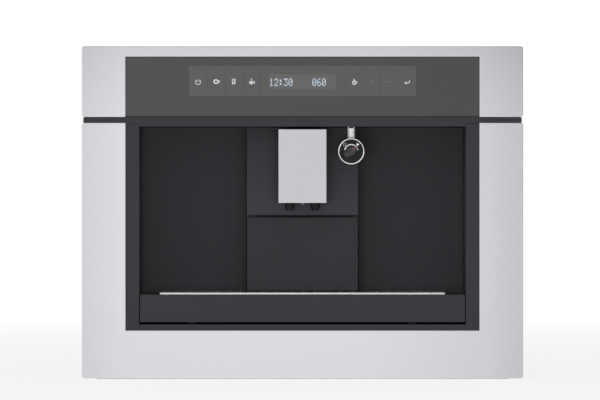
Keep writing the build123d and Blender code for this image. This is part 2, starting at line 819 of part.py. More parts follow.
# The grille is a tray of thin sheet turned upside down. It stands on the drip tray's rim, and
# a notch at its rear lets it lift clear of the grounds container.
GRILLE_BACK = GRILLE_SET + GRILLE_D
NOTCH_FRONT = BIN_FRONT_SET - GRILLE_CLEAR
NOTCH_X = COLUMN_X + JOINT_GAP
SIDE_SLOTS = (GRILLE_SLOTS - GRILLE_MIDDLE_SLOTS) // 2
SIDE_SLOT_X = (GRILLE_MIDDLE_SLOTS + SIDE_SLOTS) * GRILLE_SLOT_PITCH / 2
slot_fields = [
    (0, GRILLE_MIDDLE_SLOTS, NOTCH_FRONT - GRILLE_MARGIN),
    (-SIDE_SLOT_X, SIDE_SLOTS, GRILLE_BACK - GRILLE_MARGIN),
    (SIDE_SLOT_X, SIDE_SLOTS, GRILLE_BACK - GRILLE_MARGIN),
]
with BuildPart() as cup_grille:
    with BuildSketch(at_height(TRAY_TOP)) as grille_plan:
        with Locations((0, FRONT + GRILLE_SET + GRILLE_D / 2)):
            RectangleRounded(GRILLE_W, GRILLE_D, 3 * EDGE_R)
        with Locations((0, FRONT + (NOTCH_FRONT + GRILLE_BACK) / 2)):
            Rectangle(2 * NOTCH_X, GRILLE_BACK - NOTCH_FRONT, mode=Mode.SUBTRACT)
    extrude(amount=GRILLE_H)
    chamfer(cup_grille.faces().sort_by(Axis.Z)[-1].edges(), GRILLE_T / 3)
    with BuildSketch(at_height(TRAY_TOP)):
        add(grille_plan.sketch_local)
        offset(amount=-GRILLE_T, mode=Mode.REPLACE)
    extrude(amount=GRILLE_H - GRILLE_T, mode=Mode.SUBTRACT)
    for middle, count, back in slot_fields:
        front = GRILLE_SET + GRILLE_MARGIN
        with BuildSketch(at_height(TRAY_TOP)):
            with Locations((middle, FRONT + (front + back) / 2)):
                with GridLocations(GRILLE_SLOT_PITCH, 0, count, 1):
                    SlotOverall(back - front, GRILLE_SLOT_W, rotation=90)
        extrude(amount=GRILLE_H, mode=Mode.SUBTRACT)
save(cup_grille.part, "cup_grille")

# ---------------------------------------------------------------- grounds container and its bay
BIN_LOW = BIN_FRONT_UP
BIN_FRONT_X = COLUMN_X - RUN
with BuildPart() as grounds_container:
    block(-BIN_X, BIN_X, BIN_FRONT_SET, BIN_BACK, BIN_LOW, BIN_LOW + BIN_H)
    block(
        -BIN_FRONT_X,
        BIN_FRONT_X,
        BIN_FRONT_SET,
        BIN_FRONT_SET + BIN_FRONT_T,
        BIN_FRONT_UP,
        BIN_FRONT_UP + BIN_FRONT_H,
    )
    chamfer(grounds_container.faces().sort_by(Axis.Y)[0].edges(), EDGE_R / 2)
    block(
        -BIN_X + BIN_WALL,
        BIN_X - BIN_WALL,
        BIN_FRONT_SET + BIN_FRONT_T,
        BIN_BACK - BIN_WALL,
        BIN_LOW + BIN_WALL,
        BIN_LOW + BIN_H,
        Mode.SUBTRACT,
    )
save(grounds_container.part, "grounds_container")

BAY_X = BIN_X + BAY_MARGIN
BAY_BACK = BIN_BACK + BAY_MARGIN + BAY_WALL
with BuildPart() as container_bay:
    with BuildSketch(facing(BAY_BACK)):
        Polygon(*both_sides([
            (BAY_X + BAY_WALL, BAY_FLOOR - BAY_WALL),
            (BAY_X + BAY_WALL, BAY_FLOOR + BAY_SIDE_H),
            (BAY_X, BAY_FLOOR + BAY_SIDE_H),
            (BAY_X, BAY_FLOOR),
        ]), align=None)
    extrude(amount=BAY_BACK - BULKHEAD_BACK)
    block(
        -BAY_X, BAY_X, BAY_BACK - BAY_WALL, BAY_BACK, BAY_FLOOR, BAY_FLOOR + BAY_SIDE_H
    )
save(container_bay.part, "container_bay")

# ---------------------------------------------------------------- chassis
CHASSIS_REAR = CHASSIS_BACK - SHEET
RAIL_SCREW_DEPTHS = [RAIL_FRONT + RAIL_L / 2 + n * RAIL_SCREW_PITCH for n in (-1, 0, 1)]
TOP_SCREW_DEPTHS = [TOTAL_D / 2 + n * TOP_SCREW_PITCH for n in (-1, 0, 1)]
TOP_SCREW_X = SIDE_INNER - FLANGE / 2
REAR_SCREW_ZS = [CHASSIS_UP + CHASSIS_H / 2 + n * REAR_SCREW_PITCH / 2 for n in SIDES]

with BuildPart() as base_pan:
    block(
        -SIDE_INNER, SIDE_INNER, CHASSIS_FRONT, CHASSIS_REAR, CHASSIS_UP, CHASSIS_UP + PAN_H
    )
    block(
        -SIDE_INNER + SHEET,
        SIDE_INNER - SHEET,
        CHASSIS_FRONT + SHEET,
        CHASSIS_REAR - SHEET,
        PAN_FLOOR,
        CHASSIS_UP + PAN_H,
        Mode.SUBTRACT,
    )
save(base_pan.part, "base_pan")


def side_panel(side, name):
    """A side sheet with flanges turned in at the top and the rear, holes and a field of vents."""
    outer = side * CHASSIS_X
    inner = side * SIDE_INNER
    turned = side * (SIDE_INNER - FLANGE)
    with BuildPart() as panel:
        block(
            min(outer, inner),
            max(outer, inner),
            CHASSIS_FRONT,
            CHASSIS_REAR,
            CHASSIS_UP,
            CHASSIS_TOP,
        )
        block(
            min(inner, turned),
            max(inner, turned),
            CHASSIS_FRONT,
            CHASSIS_REAR,
            CHASSIS_TOP - SHEET,
            CHASSIS_TOP,
        )
        block(
            min(inner, turned),
            max(inner, turned),
            CHASSIS_REAR - SHEET,
            CHASSIS_REAR,
            CHASSIS_UP + PAN_H + FIT,
            CHASSIS_TOP - SHEET,
        )
        for depth in RAIL_SCREW_DEPTHS:
            across(
                min(outer, inner), max(outer, inner), depth, RAIL_Z, SCREW_R + SCREW_HOLE, Mode.SUBTRACT
            )
        for depth in TOP_SCREW_DEPTHS:
            upright(
                side * TOP_SCREW_X,
                depth,
                CHASSIS_TOP - SHEET,
                CHASSIS_TOP,
                SCREW_R + SCREW_HOLE,
                Mode.SUBTRACT,
            )
        for z in REAR_SCREW_ZS:
            level(
                side * TOP_SCREW_X,
                z,
                CHASSIS_REAR - SHEET,
                CHASSIS_REAR,
                SCREW_R + SCREW_HOLE,
                Mode.SUBTRACT,
            )
        centre = ((outer + inner) / 2, FRONT + SIDE_VENT_AT * TOTAL_D, CHASSIS_UP + CHASSIS_H / 2)
        with BuildSketch(Plane(origin=centre, x_dir=(0, 1, 0), z_dir=(1, 0, 0))):
            with GridLocations(VENT_PITCH_X, VENT_PITCH_Z, 2, VENT_ROWS):
                Rectangle(VENT_W, VENT_H)
        extrude(amount=SHEET, both=True, mode=Mode.SUBTRACT)
    save(panel.part, name)


side_panel(-1, "side_panel_left")
side_panel(1, "side_panel_right")

with BuildPart() as rear_panel:
    block(-CHASSIS_X, CHASSIS_X, CHASSIS_REAR, CHASSIS_BACK, CHASSIS_UP, CHASSIS_TOP)
    block(
        INLET_X - INLET_W / 2 + FLANGE / 2,
        INLET_X + INLET_W / 2 - FLANGE / 2,
        CHASSIS_REAR,
        CHASSIS_BACK,
        INLET_Z - INLET_H / 2 + SHEET,
        INLET_Z + INLET_H / 2 - SHEET,
        Mode.SUBTRACT,
    )
    for side in SIDES:
        for z in REAR_SCREW_ZS:
            level(
                side * TOP_SCREW_X, z, CHASSIS_REAR, CHASSIS_BACK, SCREW_R + SCREW_HOLE, Mode.SUBTRACT
            )
    vent_centre = (0, FRONT + CHASSIS_BACK, CHASSIS_UP + REAR_VENT_AT * CHASSIS_H)
    with BuildSketch(Plane(origin=vent_centre, x_dir=(1, 0, 0), z_dir=(0, -1, 0))):
        with GridLocations(VENT_PITCH_X, VENT_PITCH_Z, 4, VENT_ROWS):
            Rectangle(VENT_W, VENT_H)
    extrude(amount=SHEET, mode=Mode.SUBTRACT)
save(rear_panel.part, "rear_panel")

# The front frame is the sheet that the fascia closes on. It lies over the cabinet's edges.
FRAME_X = CHASSIS_X + FRAME_OVER
with BuildPart() as front_frame:
    block(
        -FRAME_X,
        FRAME_X,
        FASCIA_D,
        CHASSIS_FRONT,
        FASCIA_LIFT + FRAME_MARGIN,
        FASCIA_TOP - FRAME_MARGIN,
    )
    block(
        -NICHE_X - CHEEK_WALL - FIT,
        NICHE_X + CHEEK_WALL + FIT,
        FASCIA_D,
        CHASSIS_FRONT,
        SILL_LOW,
        GROOVE_LOW,
        Mode.SUBTRACT,
    )
save(front_frame.part, "front_frame")

BULKHEAD_X = SIDE_INNER - FIT
BULKHEAD_TOP = CHASSIS_TOP - SHEET - FIT
with BuildPart() as bulkhead:
    block(-BULKHEAD_X, BULKHEAD_X, NICHE_D, BULKHEAD_BACK, CHASSIS_UP + PAN_H, BULKHEAD_TOP)
    block(
        -BULKHEAD_X + SHEET,
        BULKHEAD_X - SHEET,
        NICHE_D,
        BULKHEAD_BACK,
        PAN_FLOOR,
        CHASSIS_UP + PAN_H,
    )
    block(
        -BIN_FRONT_X,
        BIN_FRONT_X,
        NICHE_D,
        BULKHEAD_BACK,
        BAY_FLOOR - BAY_WALL,
        BIN_FRONT_UP + BIN_FRONT_H,
        Mode.SUBTRACT,
    )
    level(BOILER_X, HOSE_TOP_Z, NICHE_D, BULKHEAD_BACK, HOSE_R + FIT, Mode.SUBTRACT)
save(bulkhead.part, "bulkhead")

# Places where the lids, the tank and the knob pass the top cover
TANK_BACK = TANK_FRONT + TANK_D
TANK_GAP = WELL_GAP + WELL_WALL
HOPPER_BACK = HOPPER_FRONT + HOPPER_D
HOPPER_REACH = HOPPER_W / 2 - LID_LAP
FUNNEL_FRONT = BREW_DEPTH - FUNNEL_D / 2
FUNNEL_BACK = BREW_DEPTH + FUNNEL_D / 2
LID_AXIS_Z = COVER_TOP + LID_RISE
HOPPER_HINGE = HOPPER_BACK - LID_LAP + 2 * LID_BARREL_R + LID_PIN_R
FUNNEL_HINGE = FUNNEL_BACK - FUNNEL_WALL + 2 * LID_BARREL_R + LID_PIN_R
# A lid's plate ends far enough in front of its axis to swing over the lugs beside it.
LID_SWING = 1.5 * LID_BARREL_R + RUN


def lid_lugs(x, reach, depth):
    """Two lugs on the top cover that hold a lid's hinge pin."""
    for side in SIDES:
        near = x + side * reach
        far = near + side * LID_LUG_W
        block(
            min(near, far),
            max(near, far),
            depth - LID_BARREL_R,
            depth + LID_BARREL_R,
            COVER_TOP,
            LID_AXIS_Z + LID_BARREL_R,
        )
        across(min(near, far), max(near, far), depth, LID_AXIS_Z, LID_PIN_R + RUN, Mode.SUBTRACT)


with BuildPart() as top_cover:
    block(-CHASSIS_X, CHASSIS_X, CHASSIS_FRONT, CHASSIS_BACK, CHASSIS_TOP, COVER_TOP)
    block(
        TANK_X - TANK_W / 2 - WELL_GAP,
        TANK_X + TANK_W / 2 + WELL_GAP,
        TANK_FRONT - WELL_GAP,
        TANK_BACK + WELL_GAP,
        CHASSIS_TOP,
        COVER_TOP,
        Mode.SUBTRACT,
    )
    block(
        HOPPER_X - HOPPER_REACH,
        HOPPER_X + HOPPER_REACH,
        HOPPER_FRONT + LID_LAP,
        HOPPER_BACK - LID_LAP,
        CHASSIS_TOP,
        COVER_TOP,
        Mode.SUBTRACT,
    )
    block(
        BREW_X - FUNNEL_W / 2 + FUNNEL_WALL,
        BREW_X + FUNNEL_W / 2 - FUNNEL_WALL,
        FUNNEL_FRONT + FUNNEL_WALL,
        FUNNEL_BACK - FUNNEL_WALL,
        CHASSIS_TOP,
        COVER_TOP,
        Mode.SUBTRACT,
    )
    upright(
        GRIND_KNOB_X, GRIND_KNOB_DEPTH, CHASSIS_TOP, COVER_TOP, LID_BARREL_R + FIT, Mode.SUBTRACT
    )
    for side in SIDES:
        for depth in TOP_SCREW_DEPTHS:
            upright(
                side * TOP_SCREW_X, depth, CHASSIS_TOP, COVER_TOP, SCREW_R + SCREW_HOLE, Mode.SUBTRACT
            )
    lid_lugs(HOPPER_X, HOPPER_REACH, HOPPER_HINGE)
    lid_lugs(BREW_X, FUNNEL_W / 2, FUNNEL_HINGE)
save(top_cover.part, "top_cover")

# ---------------------------------------------------------------- cabinet support and rails
SUPPORT_X = SUPPORT_W / 2
with BuildPart() as support_base:
    with BuildSketch(facing(TOTAL_D)):
        Polygon(*both_sides([
            (SUPPORT_X, 0),
            (SUPPORT_X, SUPPORT_FLANGE_H),
            (SUPPORT_X - SUPPORT_T, SUPPORT_FLANGE_H),
            (SUPPORT_X - SUPPORT_T, SUPPORT_T),
        ]), align=None)
    extrude(amount=TOTAL_D - SUPPORT_FRONT)
    block(
        -SUPPORT_X + SUPPORT_STRIP,
        SUPPORT_X - SUPPORT_STRIP,
        SUPPORT_FRONT + SUPPORT_BAR,
        TOTAL_D - SUPPORT_BAR,
        0,
        SUPPORT_T,
        Mode.SUBTRACT,
    )
    with Locations((0, FRONT + (SUPPORT_FRONT + TOTAL_D) / 2, SUPPORT_T / 2)):
        with GridLocations(FLOOR_HOLE_X, FLOOR_HOLE_Y, 2, 2):
            Cylinder(FLOOR_HOLE_R, SUPPORT_T, mode=Mode.SUBTRACT)
save(support_base.part, "support_base")


def channel_pair(web, tip, height, wall, name):
    """Both rails of one kind, each a C section with its web at one x and its lips at the other."""
    inward = math.copysign(wall, tip - web)
    with BuildPart() as pair:
        for side in SIDES:
            with BuildSketch(facing(RAIL_FRONT + RAIL_L)):
                Polygon(
                    (side * web, RAIL_Z - height / 2),
                    (side * tip, RAIL_Z - height / 2),
                    (side * tip, RAIL_Z - height / 2 + wall),
                    (side * (web + inward), RAIL_Z - height / 2 + wall),
                    (side * (web + inward), RAIL_Z + height / 2 - wall),
                    (side * tip, RAIL_Z + height / 2 - wall),
                    (side * tip, RAIL_Z + height / 2),
                    (side * web, RAIL_Z + height / 2),
                    align=None,
                )
            extrude(amount=RAIL_L)
        if web < tip:
            for side in SIDES:
                for depth in RAIL_SCREW_DEPTHS:
                    near = side * web
                    far = side * (web + wall)
                    across(
                        min(near, far),
                        max(near, far),
                        depth,
                        RAIL_Z,
                        SCREW_R + SCREW_HOLE,
                        Mode.SUBTRACT,
                    )
    save(pair.part, name)


RAIL_X = SUPPORT_X - SUPPORT_T
RAIL_TIP = RAIL_X - RAIL_FLANGE
MIDDLE_X = RAIL_X - RAIL_T - RUN
MIDDLE_H = RAIL_H - 2 * RAIL_T - 2 * RUN
channel_pair(RAIL_X, RAIL_TIP, RAIL_H, RAIL_T, "outer_rails")
channel_pair(MIDDLE_X, RAIL_TIP, MIDDLE_H, SHEET, "middle_rails")
channel_pair(
    CHASSIS_X, MIDDLE_X - SHEET - RUN, MIDDLE_H - 2 * SHEET - 2 * RUN, SHEET, "inner_rails"
)

with BuildPart() as case_screws:
    for side in SIDES:
        for depth in TOP_SCREW_DEPTHS:
            upright(side * TOP_SCREW_X, depth, COVER_TOP, COVER_TOP + SCREW_HEAD_T, SCREW_HEAD_R)
            upright(side * TOP_SCREW_X, depth, COVER_TOP - SCREW_L, COVER_TOP, SCREW_R)
        for z in REAR_SCREW_ZS:
            level(side * TOP_SCREW_X, z, CHASSIS_BACK, CHASSIS_BACK + SCREW_HEAD_T, SCREW_HEAD_R)
            level(side * TOP_SCREW_X, z, CHASSIS_BACK - SCREW_L, CHASSIS_BACK, SCREW_R)
        for depth in RAIL_SCREW_DEPTHS:
            seat = side * (CHASSIS_X + SHEET)
            head = side * (CHASSIS_X + SHEET + SCREW_HEAD_T)
            tip = side * (CHASSIS_X + SHEET - SCREW_L)
            across(min(seat, head), max(seat, head), depth, RAIL_Z, SCREW_HEAD_R)
            across(min(seat, tip), max(seat, tip), depth, RAIL_Z, SCREW_R)
save(case_screws.part, "case_screws")

# ---------------------------------------------------------------- brew unit
BREW_BACK = BREW_DEPTH + BREW_D / 2
BREW_FRAME_FRONT = BULKHEAD_BACK
BREW_HALF = BREW_W / 2
CHAMBER_TOP = BREW_TOP - BREW_WALL
CHAMBER_LOW = CHAMBER_TOP - CHAMBER_H
PISTON_LOW = CHAMBER_LOW + PISTON_IN
CROSSHEAD_Z = BREW_UP + BREW_WALL + CROSSHEAD_UP
with BuildPart() as brew_frame:
    block(-BREW_HALF, BREW_HALF, BREW_FRAME_FRONT, BREW_BACK, BREW_UP, BREW_TOP)
    block(
        -BREW_HALF + BREW_WALL,
        BREW_HALF,
        BREW_FRAME_FRONT + BREW_WALL,
        BREW_BACK - BREW_WALL,
        BREW_UP + BREW_WALL,
        CHAMBER_TOP,
        Mode.SUBTRACT,
    )
    upright(BREW_X, BREW_DEPTH, CHAMBER_TOP, BREW_TOP, CHAMBER_BORE_R - FUNNEL_WALL, Mode.SUBTRACT)
    upright(SPINDLE_X, BREW_DEPTH, CHAMBER_TOP, BREW_TOP, SPINDLE_R + RUN, Mode.SUBTRACT)
save(brew_frame.part, "brew_frame")

with BuildPart() as brew_chamber:
    upright(BREW_X, BREW_DEPTH, CHAMBER_LOW, CHAMBER_TOP, CHAMBER_R)
    upright(BREW_X, BREW_DEPTH, CHAMBER_TOP - 2 * BREW_WALL, CHAMBER_TOP, CHAMBER_R + 3 * BREW_WALL)
    across(BREW_X, BREW_PORT_X, BREW_DEPTH - BREW_PORT_OFF, BREW_PORT_Z, BREW_PORT_R)
    upright(BREW_X, BREW_DEPTH, CHAMBER_LOW, CHAMBER_TOP, CHAMBER_BORE_R, Mode.SUBTRACT)
save(brew_chamber.part, "brew_chamber")

with BuildPart() as brew_piston:
    upright(BREW_X, BREW_DEPTH, PISTON_LOW, PISTON_LOW + PISTON_H, CHAMBER_BORE_R - RUN)
    upright(BREW_X, BREW_DEPTH, CROSSHEAD_Z, PISTON_LOW, PISTON_ROD_R)
    block(
        BREW_X - CHAMBER_R,
        SPINDLE_X + 3 * SPINDLE_R,
        BREW_DEPTH - 3 * SPINDLE_R,
        BREW_DEPTH + 3 * SPINDLE_R,
        CROSSHEAD_Z,
        CROSSHEAD_Z + CROSSHEAD_H,
    )
    upright(
        SPINDLE_X, BREW_DEPTH, CROSSHEAD_Z, CROSSHEAD_Z + CROSSHEAD_H, SPINDLE_R + RUN, Mode.SUBTRACT
    )
save(brew_piston.part, "brew_piston")

with BuildPart() as brew_spindle:
    upright(
        SPINDLE_X, BREW_DEPTH, BREW_UP + BREW_WALL + RUN, BREW_TOP + SPINDLE_IN_MOTOR - RUN, SPINDLE_R
    )
save(brew_spindle.part, "brew_spindle")

with BuildPart() as brew_motor:
    block(
        SPINDLE_X - BREW_MOTOR_R,
        SPINDLE_X + BREW_MOTOR_R,
        BREW_DEPTH - BREW_MOTOR_R,
        BREW_DEPTH + BREW_MOTOR_R,
        BREW_TOP,
        BREW_TOP + BREW_WALL,
    )
    upright(SPINDLE_X, BREW_DEPTH, BREW_TOP, BREW_TOP + BREW_MOTOR_H, BREW_MOTOR_R - 1)
    upright(
        SPINDLE_X, BREW_DEPTH, BREW_TOP, BREW_TOP + SPINDLE_IN_MOTOR, SPINDLE_R + RUN, Mode.SUBTRACT
    )
save(brew_motor.part, "brew_motor")

# ---------------------------------------------------------------- powder funnel
NECK_TOP = BREW_TOP + FUNNEL_NECK_H
RIM_LOW = CHASSIS_TOP - FUNNEL_RIM_H
funnel_axis = (BREW_X, FRONT + BREW_DEPTH)


def funnel_form(wall, mode):
    """A round neck, a loft from round to square and a square rim, drawn in by a wall."""
    with BuildSketch(at_height(BREW_TOP)) as foot:
        with Locations(funnel_axis):
            Circle(FUNNEL_NECK_R - wall)
    with BuildSketch(at_height(NECK_TOP)) as neck:
        with Locations(funnel_axis):
            Circle(FUNNEL_NECK_R - wall)
    with BuildSketch(at_height(RIM_LOW)) as rim:
        with Locations(funnel_axis):
            RectangleRounded(FUNNEL_W - 2 * wall, FUNNEL_D - 2 * wall, FUNNEL_W / 8)
    extrude(foot.sketch, amount=FUNNEL_NECK_H, mode=mode)
    loft([neck.sketch, rim.sketch], mode=mode)
    extrude(rim.sketch, amount=FUNNEL_RIM_H, mode=mode)


CHUTE_DX = GRIND_X - BREW_X
CHUTE_DY = GRIND_DEPTH - BREW_DEPTH
CHUTE_TURN = -math.degrees(math.atan2(CHUTE_DX, CHUTE_DY))
CHUTE_L = math.hypot(CHUTE_DX, CHUTE_DY)
CHUTE_Z = GRIND_UP + CHUTE_UP + CHUTE_H / 2
CHUTE_PLACE = Location(
    (BREW_X + CHUTE_DX / 2, FRONT + BREW_DEPTH + CHUTE_DY / 2, CHUTE_Z), (0, 0, CHUTE_TURN)
)

# ---------------------------------------------------------------- grinder
with BuildPart() as grinder_housing:
    upright(GRIND_X, GRIND_DEPTH, GRIND_UP, HOPPER_LOW, GRIND_R)
    with Locations(CHUTE_PLACE):
        Box(CHUTE_W, CHUTE_L, CHUTE_H)
    with Locations(CHUTE_PLACE):
        Box(CHUTE_W - 2 * CHUTE_WALL, CHUTE_L, CHUTE_H - 2 * CHUTE_WALL, mode=Mode.SUBTRACT)
    upright(BREW_X, BREW_DEPTH, GRIND_UP, HOPPER_LOW, FUNNEL_NECK_R + FIT, Mode.SUBTRACT)
    upright(
        GRIND_X, GRIND_DEPTH, GRIND_UP + GRIND_FLOOR, HOPPER_LOW - GRIND_TOP, GRIND_CAVITY_R, Mode.SUBTRACT
    )
    upright(GRIND_X, GRIND_DEPTH, HOPPER_LOW - GRIND_TOP, HOPPER_LOW, THROAT_R, Mode.SUBTRACT)
    upright(GRIND_X, GRIND_DEPTH, GRIND_UP, GRIND_UP + GRIND_FLOOR, SHAFT_R + RUN, Mode.SUBTRACT)
save(grinder_housing.part, "grinder_housing")

with BuildPart() as powder_funnel:
    funnel_form(0, Mode.ADD)
    funnel_form(FUNNEL_WALL, Mode.SUBTRACT)
    with Locations(CHUTE_PLACE):
        Box(CHUTE_W - 2 * CHUTE_WALL, CHUTE_L - CHUTE_W, CHUTE_H - 2 * CHUTE_WALL, mode=Mode.SUBTRACT)
save(powder_funnel.part, "powder_funnel")

with BuildPart() as grinder_motor:
    upright(GRIND_X, GRIND_DEPTH, GRIND_UP - GRIND_MOTOR_H, GRIND_UP, GRIND_MOTOR_R)
    chamfer(grinder_motor.faces().sort_by(Axis.Z)[0].edges(), GRIND_FLOOR / 2)
    upright(GRIND_X, GRIND_DEPTH, GRIND_UP - 2 * SHAFT_R, GRIND_UP, SHAFT_R + RUN, Mode.SUBTRACT)
save(grinder_motor.part, "grinder_motor")

# The burr is a cone with cutting teeth round it, on the motor's shaft.
BURR_LOW = GRIND_UP + GRIND_FLOOR + BURR_GAP
with BuildPart() as burr_rotor:
    with Locations((GRIND_X, FRONT + GRIND_DEPTH, BURR_LOW)):
        Cone(BURR_R, BURR_TOP_R, BURR_H, align=(Align.CENTER, Align.CENTER, Align.MIN))
    burr_axis = (GRIND_X, FRONT + GRIND_DEPTH)
    with BuildSketch(at_height(BURR_LOW)):
        with Locations(burr_axis):
            with PolarLocations(BURR_R, BURR_TEETH):
                Rectangle(BURR_R / 3, BURR_R / 10)
    extrude(amount=BURR_H, mode=Mode.SUBTRACT)
    upright(
        GRIND_X, GRIND_DEPTH, GRIND_UP - 2 * SHAFT_R + RUN, BURR_LOW + BURR_H, SHAFT_R
    )
save(burr_rotor.part, "burr_rotor")

# ---------------------------------------------------------------- bean hopper
HOPPER_RIM_LOW = CHASSIS_TOP - HOPPER_RIM_H
hopper_axis = (HOPPER_X, FRONT + HOPPER_FRONT + HOPPER_D / 2)


def hopper_form(wall, mode):
    """A square rim over a loft that narrows to the grinder's throat, drawn in by a wall."""
    with BuildSketch(at_height(HOPPER_LOW)) as throat:
        with Locations((GRIND_X, FRONT + GRIND_DEPTH)):
            Circle(THROAT_R + HOPPER_WALL - wall)
    with BuildSketch(at_height(HOPPER_RIM_LOW)) as rim:
        with Locations(hopper_axis):
            RectangleRounded(HOPPER_W - 2 * wall, HOPPER_D - 2 * wall, HOPPER_W / 10)
    loft([throat.sketch, rim.sketch], mode=mode)
    extrude(rim.sketch, amount=HOPPER_RIM_H, mode=mode)


with BuildPart() as bean_hopper:
    hopper_form(0, Mode.ADD)
    hopper_form(HOPPER_WALL, Mode.SUBTRACT)
save(bean_hopper.part, "bean_hopper")


def lid(x, reach, front, axis_depth, name):
    """A flat lid with a barrel at its rear edge and a hinge pin through it."""
    with BuildPart() as cover:
        block(
            x - reach - LID_LAP,
            x + reach + LID_LAP,
            front - LID_LAP,
            axis_depth - LID_SWING,
            COVER_TOP + RUN,
            COVER_TOP + RUN + LID_T,
        )
        fillet(cover.edges().filter_by(Axis.Z), LID_T / 2)
        block(
            x - reach + 2 * RUN,
            x + reach - 2 * RUN,
            axis_depth - LID_SWING,
            axis_depth,
            COVER_TOP + RUN,
            COVER_TOP + RUN + LID_T,
        )
        across(x - reach + 2 * RUN, x + reach - 2 * RUN, axis_depth, LID_AXIS_Z, LID_BARREL_R)
        across(x - reach - LID_LUG_W, x + reach + LID_LUG_W, axis_depth, LID_AXIS_Z, LID_PIN_R)
    save(cover.part, name)


lid(HOPPER_X, HOPPER_REACH, HOPPER_FRONT + LID_LAP, HOPPER_HINGE, "hopper_lid")
lid(BREW_X, FUNNEL_W / 2, FUNNEL_FRONT, FUNNEL_HINGE, "powder_lid")

with BuildPart() as grind_knob:
    with BuildSketch(at_height(COVER_TOP + RUN)):
        with Locations((GRIND_KNOB_X, FRONT + GRIND_KNOB_DEPTH)):
            Circle(GRIND_KNOB_R)
            with PolarLocations(GRIND_KNOB_R, GRIND_KNOB_RIBS):
                Circle(GRIND_KNOB_R / 12, mode=Mode.SUBTRACT)
    extrude(amount=GRIND_KNOB_H)
    upright(
        GRIND_KNOB_X, GRIND_KNOB_DEPTH, COVER_TOP - GRIND_KNOB_SHAFT, COVER_TOP + RUN, LID_BARREL_R
    )
save(grind_knob.part, "grind_knob")

# ---------------------------------------------------------------- water tank and well
WELL_X0 = TANK_X - TANK_W / 2 - TANK_GAP
WELL_X1 = TANK_X + TANK_W / 2 + TANK_GAP
WELL_FRONT = TANK_FRONT - TANK_GAP
WELL_BACK = TANK_BACK + TANK_GAP
TANK_MID = (TANK_FRONT + TANK_BACK) / 2
with BuildPart() as tank_well:
    block(WELL_X0, WELL_X1, WELL_FRONT, WELL_BACK, PAN_FLOOR, WELL_TOP)
    for low, high in ((PAN_FLOOR, WELL_FLOOR_UP - WELL_WALL), (WELL_FLOOR_UP, WELL_TOP)):
        block(
            WELL_X0 + WELL_WALL,
            WELL_X1 - WELL_WALL,
            WELL_FRONT + WELL_WALL,
            WELL_BACK - WELL_WALL,
            low,
            high,
            Mode.SUBTRACT,
        )
    upright(
        TANK_X, TANK_MID, WELL_FLOOR_UP - WELL_WALL, WELL_FLOOR_UP, SPIGOT_R + FIT, Mode.SUBTRACT
    )
    level(PUMP_X, PUMP_Z, WELL_FRONT, WELL_FRONT + WELL_WALL, HOSE_R + FIT, Mode.SUBTRACT)
save(tank_well.part, "tank_well")

tank_axis = (TANK_X, FRONT + TANK_MID)
TANK_AXIS_DEPTH = TANK_BACK - TANK_WALL - LID_BARREL_R - 2 * RUN
TANK_AXIS_Z = TANK_TOP - LID_BARREL_R
with BuildPart() as water_tank:
    with BuildSketch(at_height(TANK_UP)):
        with Locations(tank_axis):
            RectangleRounded(TANK_W, TANK_D, TANK_R)
    extrude(amount=TANK_H)
    with BuildSketch(at_height(TANK_UP + TANK_WALL)):
        with Locations(tank_axis):
            RectangleRounded(TANK_W - 2 * TANK_WALL, TANK_D - 2 * TANK_WALL, TANK_R - TANK_WALL)
    extrude(amount=TANK_H, mode=Mode.SUBTRACT)
    upright(TANK_X, TANK_MID, TANK_UP - SPIGOT_H, TANK_UP, SPIGOT_R)
    for side in SIDES:
        near = TANK_X + side * (TANK_W / 2 - TANK_WALL)
        far = near - side * LID_LUG_W
        block(
            min(near, far),
            max(near, far),
            TANK_AXIS_DEPTH - LID_BARREL_R,
            TANK_BACK - TANK_WALL,
            TANK_TOP - 4 * LID_BARREL_R,
            TANK_TOP,
        )
        across(
            min(near, far),
            max(near, far),
            TANK_AXIS_DEPTH,
            TANK_AXIS_Z,
            LID_PIN_R + RUN,
            Mode.SUBTRACT,
        )
save(water_tank.part, "water_tank")

# The tank's lid lies inside its rim and turns on a pin in the tank's two ears.
TANK_LID_X = TANK_W / 2 - TANK_WALL - FIT
TANK_PIN_X = TANK_LID_X - LID_LUG_W - RUN
with BuildPart() as tank_lid:
    block(
        TANK_X - TANK_LID_X,
        TANK_X + TANK_LID_X,
        TANK_FRONT + TANK_WALL + FIT,
        TANK_AXIS_DEPTH - LID_SWING,
        TANK_TOP - LID_T,
        TANK_TOP,
    )
    fillet(tank_lid.edges().filter_by(Axis.Z).group_by(Axis.Y)[0], TANK_R - TANK_WALL)
    block(
        TANK_X - TANK_PIN_X,
        TANK_X + TANK_PIN_X,
        TANK_AXIS_DEPTH - LID_SWING,
        TANK_AXIS_DEPTH,
        TANK_TOP - LID_T,
        TANK_TOP,
    )
    across(TANK_X - TANK_PIN_X, TANK_X + TANK_PIN_X, TANK_AXIS_DEPTH, TANK_AXIS_Z, LID_BARREL_R)
    across(TANK_X - TANK_LID_X, TANK_X + TANK_LID_X, TANK_AXIS_DEPTH, TANK_AXIS_Z, LID_PIN_R)
    with Locations((TANK_X, FRONT + TANK_FRONT + TANK_D / 4, TANK_TOP)):
        Box(TANK_W / 3, TANK_R, LID_T / 2, align=(Align.CENTER, Align.CENTER, Align.MAX), mode=Mode.SUBTRACT)
save(tank_lid.part, "tank_lid")

